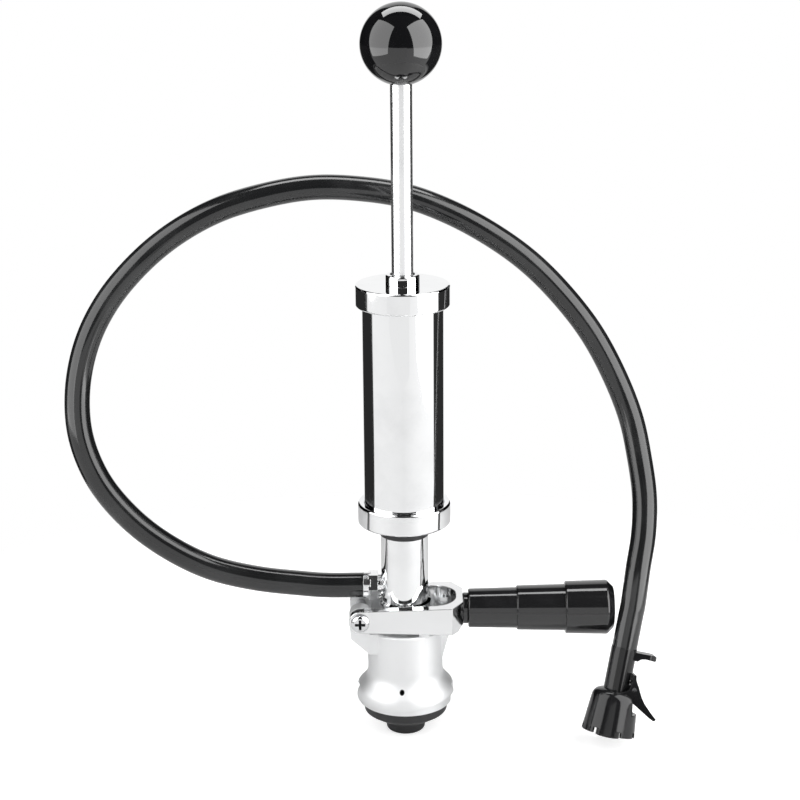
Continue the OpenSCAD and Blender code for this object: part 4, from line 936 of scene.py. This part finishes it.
@dataclass
class Lever:
    """The yoke, its pins and the stepped grip."""

    axis_z: float = 46.6
    yoke_end_x: float = 27.9
    collar_h: float = 2.6
    collar_d: float = 15.0
    stud_d: float = 7.04
    grip_len: float = 70.2
    bore_len: float = 60.57
    grow: float = 1.0
    chamfer: float = 3.2
    starts: tuple[float, float, float] = (18.7, 21.4, 25.2)

    def grip(self) -> Surface:
        """Return the stepped grip: three cones that widen outwards, turned round the lever's axis."""
        s, g, bore = self.grip_len / 3, self.grow / 2, self.stud_d / 2
        a, b, c = (d / 2 for d in self.starts)
        outline = [[0.0, self.bore_len], [bore, self.bore_len], [bore, 0.0], [a, 0.0], [a + g, s], [b, s],
                   [b + g, 2 * s], [c, 2 * s], [c + g, 3 * s - self.chamfer], [c + g - self.chamfer, 3 * s],
                   [0.0, 3 * s]]
        soft = [0.1, 0.1, 0.4, 0.8, 0.3, 0.6, 0.3, 0.6, 1.6, 1.6, 0.1]
        return revolve(rounded(outline, soft, 7, False), 128, False)

    def collar(self) -> Surface:
        """Return the black collar at the grip's root: a rounded rectangle turned round the lever's axis."""
        bore, r = self.stud_d / 2, self.collar_d / 2
        return revolve(rounded([[bore, 0.0], [r, 0.0], [r, self.collar_h], [bore, self.collar_h]],
                               [0.1, 0.6, 0.6, 0.1]))

    def build(self, shop: Workshop) -> None:
        """Make the visible pieces and dress the inner ones."""
        root = (self.yoke_end_x, 0.0, self.axis_z)
        out = (self.yoke_end_x + self.collar_h, 0.0, self.axis_z)
        shop.smooth_copy("lever_yoke", "yoke_casting", YOKE_CHROME)
        shop.piece("grip_stepped", self.grip().moved(ALONG_X, out), GRIP_BLACK, "handle_grip")
        shop.piece("grip_collar", self.collar().moved(ALONG_X, root), GRIP_BLACK, "handle_collar")
        shop.dress(SCREW_STEEL, "drive_pin_front", "drive_pin_rear")
        shop.dress(STUD_STEEL, "handle_stud")


@dataclass
class Hose:
    """The dark vinyl hose from the outlet to the tap."""

    outer_d: float = 12.0
    bore_d: float = 8.0
    tap_at: tuple[float, float, float] = (105.2, -13.0, 31.0)
    lean_deg: float = 12.0
    tilt_deg: float = 16.0
    cuts: int = 9
    route: tuple[tuple[float, float, float], ...] = (
        (-19.9, 0, 59), (-36, 0, 59), (-49, 0, 60), (-72, 0, 63), (-94, 0, 69), (-114, 0, 80), (-131, 1, 94),
        (-145, 3, 112), (-153, 6, 133), (-154, 10, 155), (-149, 14, 177), (-139, 19, 196), (-124, 24, 213),
        (-107, 30, 226), (-87, 35, 236), (-65, 39, 242), (-43, 42, 245), (-21, 44, 244), (2, 45, 240), (23, 45, 232),
        (43, 44, 221), (61, 42, 208), (77, 40, 192), (91, 37, 174), (102, 33, 154), (110, 27, 134), (114, 20, 115),
        (116, 13, 98), (115, 5, 82), (112, -2, 67))
    straight: tuple[float, ...] = (22.0, 15.0, 0.0)
    lead: float = 14.0

    def line(self) -> np.ndarray:
        """Return the middle line: the route, then the straight stretch up from the tap."""
        lean, tilt = self.lean_deg * DEGREE, self.tilt_deg * DEGREE
        level, fall = math.cos(tilt) * math.sin(lean), math.cos(tilt) * math.cos(lean)
        down = np.array([-level, -math.sin(tilt), -fall])
        end = np.asarray(self.tap_at) - np.asarray(self.straight)[:, None] * down
        points = np.vstack([np.asarray(self.route, float), end])
        inward = np.array([self.lead, 0.0, 0.0])
        return spline(points, points[0] + inward, points[-1] + self.lead * down, self.cuts)

    def build(self, shop: Workshop) -> None:
        """Make the hose and let it stand for its solid."""
        line = self.line()
        tube = sweep_tube(line, self.outer_d / 2, self.bore_d / 2)
        made = shop.piece("hose_vinyl", tube, HOSE_VINYL, "hose")


@dataclass
class Tap:
    """The squeeze tap on the hose's end."""

    body_sharp_deg: float = 28.0
    lever_sharp_deg: float = 40.0

    def build(self, shop: Workshop) -> None:
        """Make the visible pieces and dress the inner ones."""
        shop.smooth_copy("tap_body", "tap_moulding", TAP_BLACK, self.body_sharp_deg)
        shop.smooth_copy("tap_lever", "tap_thumb_lever", TAP_BLACK, self.lever_sharp_deg)
        shop.dress(TURNED_BRASS, "tap_stem")
        shop.dress(RING_RUBBER, "tap_stem_seal")
        shop.dress(PLAIN_STEEL, "tap_pin")
        shop.coil("tap_spring", "tap_coil", PLAIN_STEEL)


@dataclass(frozen=True)
class Panel:
    """An even rectangular light, from the middle of its lower edge to the middle of its upper one.

    Lengths are in millimetres, and a glow of 1 is the white of the background.
    """

    name: str
    low: tuple[float, float, float]
    high: tuple[float, float, float]
    width: float
    glow: float


@dataclass
class Studio:
    """The pale floor, the soft light all round and the camera."""

    floor_z: float = -16.4
    floor_r: float = 420.0
    target: tuple[float, float, float] = (-1.6, 0.0, 152.0)
    distance: float = 937.0
    elevation_deg: float = 17.0
    roll_deg: float = -0.465
    lens: float = 90.0
    film: float = 36.0
    far_m: float = 50.0
    floor_fade: tuple[float, float] = (325.0, 345.0)
    floor_pale: tuple[float, float] = (0.7, 0.72)
    floor_lift: float = 0.62
    wall_deg: tuple[float, float, float] = (97.0, 158.0, 3.0)
    wall_shade: float = 0.975
    behind_deg: tuple[float, float] = (158.0, 163.0)
    below_glow: tuple[float, float, float] = (0.91, 0.145, 0.08)
    least_glow: float = 0.03
    aim_z: float = 150.0
    card_x: tuple[float, float] = (-490.0, 190.0)
    card_y: float = -624.0
    card_z: tuple[float, float] = (-16.0, 267.0)
    card_glow: float = 0.94
    panels: tuple[Panel, ...] = (
        Panel("window_left", (-481.0, -246.0, 80.0), (-275.0, -89.0, 750.0), 536.0, 2.8),
        Panel("window_right", (510.0, -268.0, -14.0), (275.0, -89.0, 750.0), 536.0, 4.0),
        Panel("top_light", (10.0, 30.0, 487.0), (10.0, 125.0, 487.0), 250.0, 6.0))

    def camera(self) -> None:
        """Place the camera at the photograph's angle."""
        up = self.elevation_deg * DEGREE
        target = Vector(self.target) * MM
        back = Vector((0.0, -math.cos(up), math.sin(up)))
        data = bpy.data.cameras.new("camera")
        data.lens, data.sensor_width, data.clip_end = self.lens, self.film, self.far_m
        made = add_object("camera", data)
        made.location = target + back * self.distance * MM
        made.rotation_mode = "QUATERNION"
        roll = Quaternion((0.0, 0.0, 1.0), self.roll_deg * DEGREE)
        made.rotation_quaternion = (-back).to_track_quat("-Z", "Y") @ roll
        bpy.context.scene.camera = made

    def floor(self) -> None:
        """Make the pale floor: a disc of rings that fades out into the white round it."""
        ring = np.linspace(1.0, 0.0, 14) ** 1.5 * self.floor_r
        level = np.full_like(ring, self.floor_z)
        profile = Profile(np.stack([ring, level], -1), np.tile([0.0, 1.0], (len(ring), 1)))
        made = add_object("floor", revolve(profile, 96, False).mesh("floor"))
        material, g = new_material("pale_floor")
        x, y, _ = g.split(g.spot())
        edge = (x * x + y * y).root().ease(self.floor_fade[0] * MM, self.floor_fade[1] * MM)
        dim, pale = ((grey, grey, grey) for grey in self.floor_pale)
        matt = g.node("ShaderNodeBsdfDiffuse", {}, {"Color": g.mix(g.noise(g.spot(), 14.0, 3.0), dim, pale)})
        clear = g.node("ShaderNodeBsdfTransparent", {}, {"Color": WHITE})
        seen = g.node("ShaderNodeLightPath").out("Is Camera Ray")
        lift = g.node("ShaderNodeEmission", {}, {"Color": WHITE, "Strength": seen * self.floor_lift})
        white = g.node("ShaderNodeAddShader", {}, {0: matt.out(0), 1: lift.out(0)})
        both = g.node("ShaderNodeMixShader", {}, {0: edge, 1: white.out(0), 2: clear.out(0)})
        g.node("ShaderNodeOutputMaterial", {}, {"Surface": both.out(0)})
        made.data.materials.append(material)

    def card(self) -> None:
        """Stand a white card under the lens, which the camera doesn't see, for the glossy parts to mirror."""
        (left, right), (low, high) = self.card_x, self.card_z
        corners = np.array([(left, low), (right, low), (right, high), (left, high)])
        corners = np.insert(corners, 1, self.card_y, axis=1) * MM
        mesh = bpy.data.meshes.new("card")
        mesh.from_pydata(corners.tolist(), [], [(3, 2, 1, 0)])
        made = add_object("card", mesh)
        material, g = new_material("white_card")
        lit = g.node("ShaderNodeEmission", {}, {"Color": WHITE, "Strength": self.card_glow})
        g.node("ShaderNodeOutputMaterial", {}, {"Surface": lit.out(0)})
        mesh.materials.append(material)
        made.visible_camera = False

    def panel(self, sheet: Panel) -> None:
        """Hang a panel so that it faces the pump, unseen by the camera.

        A panel of area a that glows evenly by L in every direction sends out L pi a watts.

        Args:
            sheet: The panel's place, width and glow.
        """
        foot, head = Vector(sheet.low) * MM, Vector(sheet.high) * MM
        up = (head - foot).normalized()
        middle = (foot + head) / 2
        face = middle - Vector((0.0, 0.0, self.aim_z)) * MM
        face = (face - face.dot(up) * up).normalized()
        data = bpy.data.lights.new(sheet.name, "AREA")
        data.shape, data.size, data.size_y = "RECTANGLE", sheet.width * MM, (head - foot).length
        data.energy = sheet.glow * math.pi * data.size * data.size_y
        made = add_object(sheet.name, data)
        turn = Matrix((up.cross(face), up, face)).transposed().to_4x4()
        made.matrix_world = Matrix.Translation(middle) @ turn
        made.visible_camera = False

    def room(self) -> None:
        """Light the scene from all round: white below and behind, with dark walls at both sides."""
        world = bpy.data.worlds.new("studio")
        world.use_nodes = True
        g = Graph(world.node_tree)
        x, y, z = g.split(g.node("ShaderNodeTexCoord").out("Generated"))
        phi = (-y / (x * x + y * y + 1e-6).root()).arccos()
        walls = phi.band(*(angle * DEGREE for angle in self.wall_deg)) * z.ease(-0.68, -0.6)
        below = 1 - z.ease(-0.13, -0.08)
        behind = phi.ease(*(angle * DEGREE for angle in self.behind_deg)) * (1 - z.ease(0.6, 0.75))
        middle, sides, right = self.below_glow
        glow = below * (middle + sides * abs(x) + right * x) + behind * (1 - below) + self.least_glow
        shaded = glow * (1 - walls * self.wall_shade)
        room = g.node("ShaderNodeBackground", {}, {"Color": WHITE, "Strength": shaded})
        plain = g.node("ShaderNodeBackground", {}, {"Color": WHITE, "Strength": 1.0})
        seen = g.node("ShaderNodeLightPath").out("Is Camera Ray")
        both = g.node("ShaderNodeMixShader", {}, {0: seen, 1: room.out(0), 2: plain.out(0)})
        g.node("ShaderNodeOutputWorld", {}, {"Surface": both.out(0)})
        bpy.context.scene.world = world

    def build(self) -> None:
        """Make the camera, the floor, the card, the room and the lights."""
        self.camera()
        self.floor()
        self.card()
        self.room()
        for sheet in self.panels:
            self.panel(sheet)
        bpy.context.scene.view_settings.view_transform = "Standard"


def clear_scene() -> None:
    """Remove what a fresh file holds."""
    for held in list(bpy.data.objects):
        bpy.data.objects.remove(held, do_unlink=True)


def write_sizes() -> None:
    """Bring every object's place up to date.
    """
    bpy.context.view_layer.update()


def main() -> None:
    """Build the studio and every sub-assembly in order."""
    logging.basicConfig(level=logging.INFO, format="%(name)s: %(message)s")
    clear_scene()
    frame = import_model()
    shop = Workshop(frame)
    Studio().build()
    Tap().build(shop)
    Hose().build(shop)
    HandPump().build(shop)
    Coupler().build(shop)
    Lever().build(shop)
    write_sizes()
    log.info("%d pieces", len(shop.made))


if __name__ == "__main__":
    main()
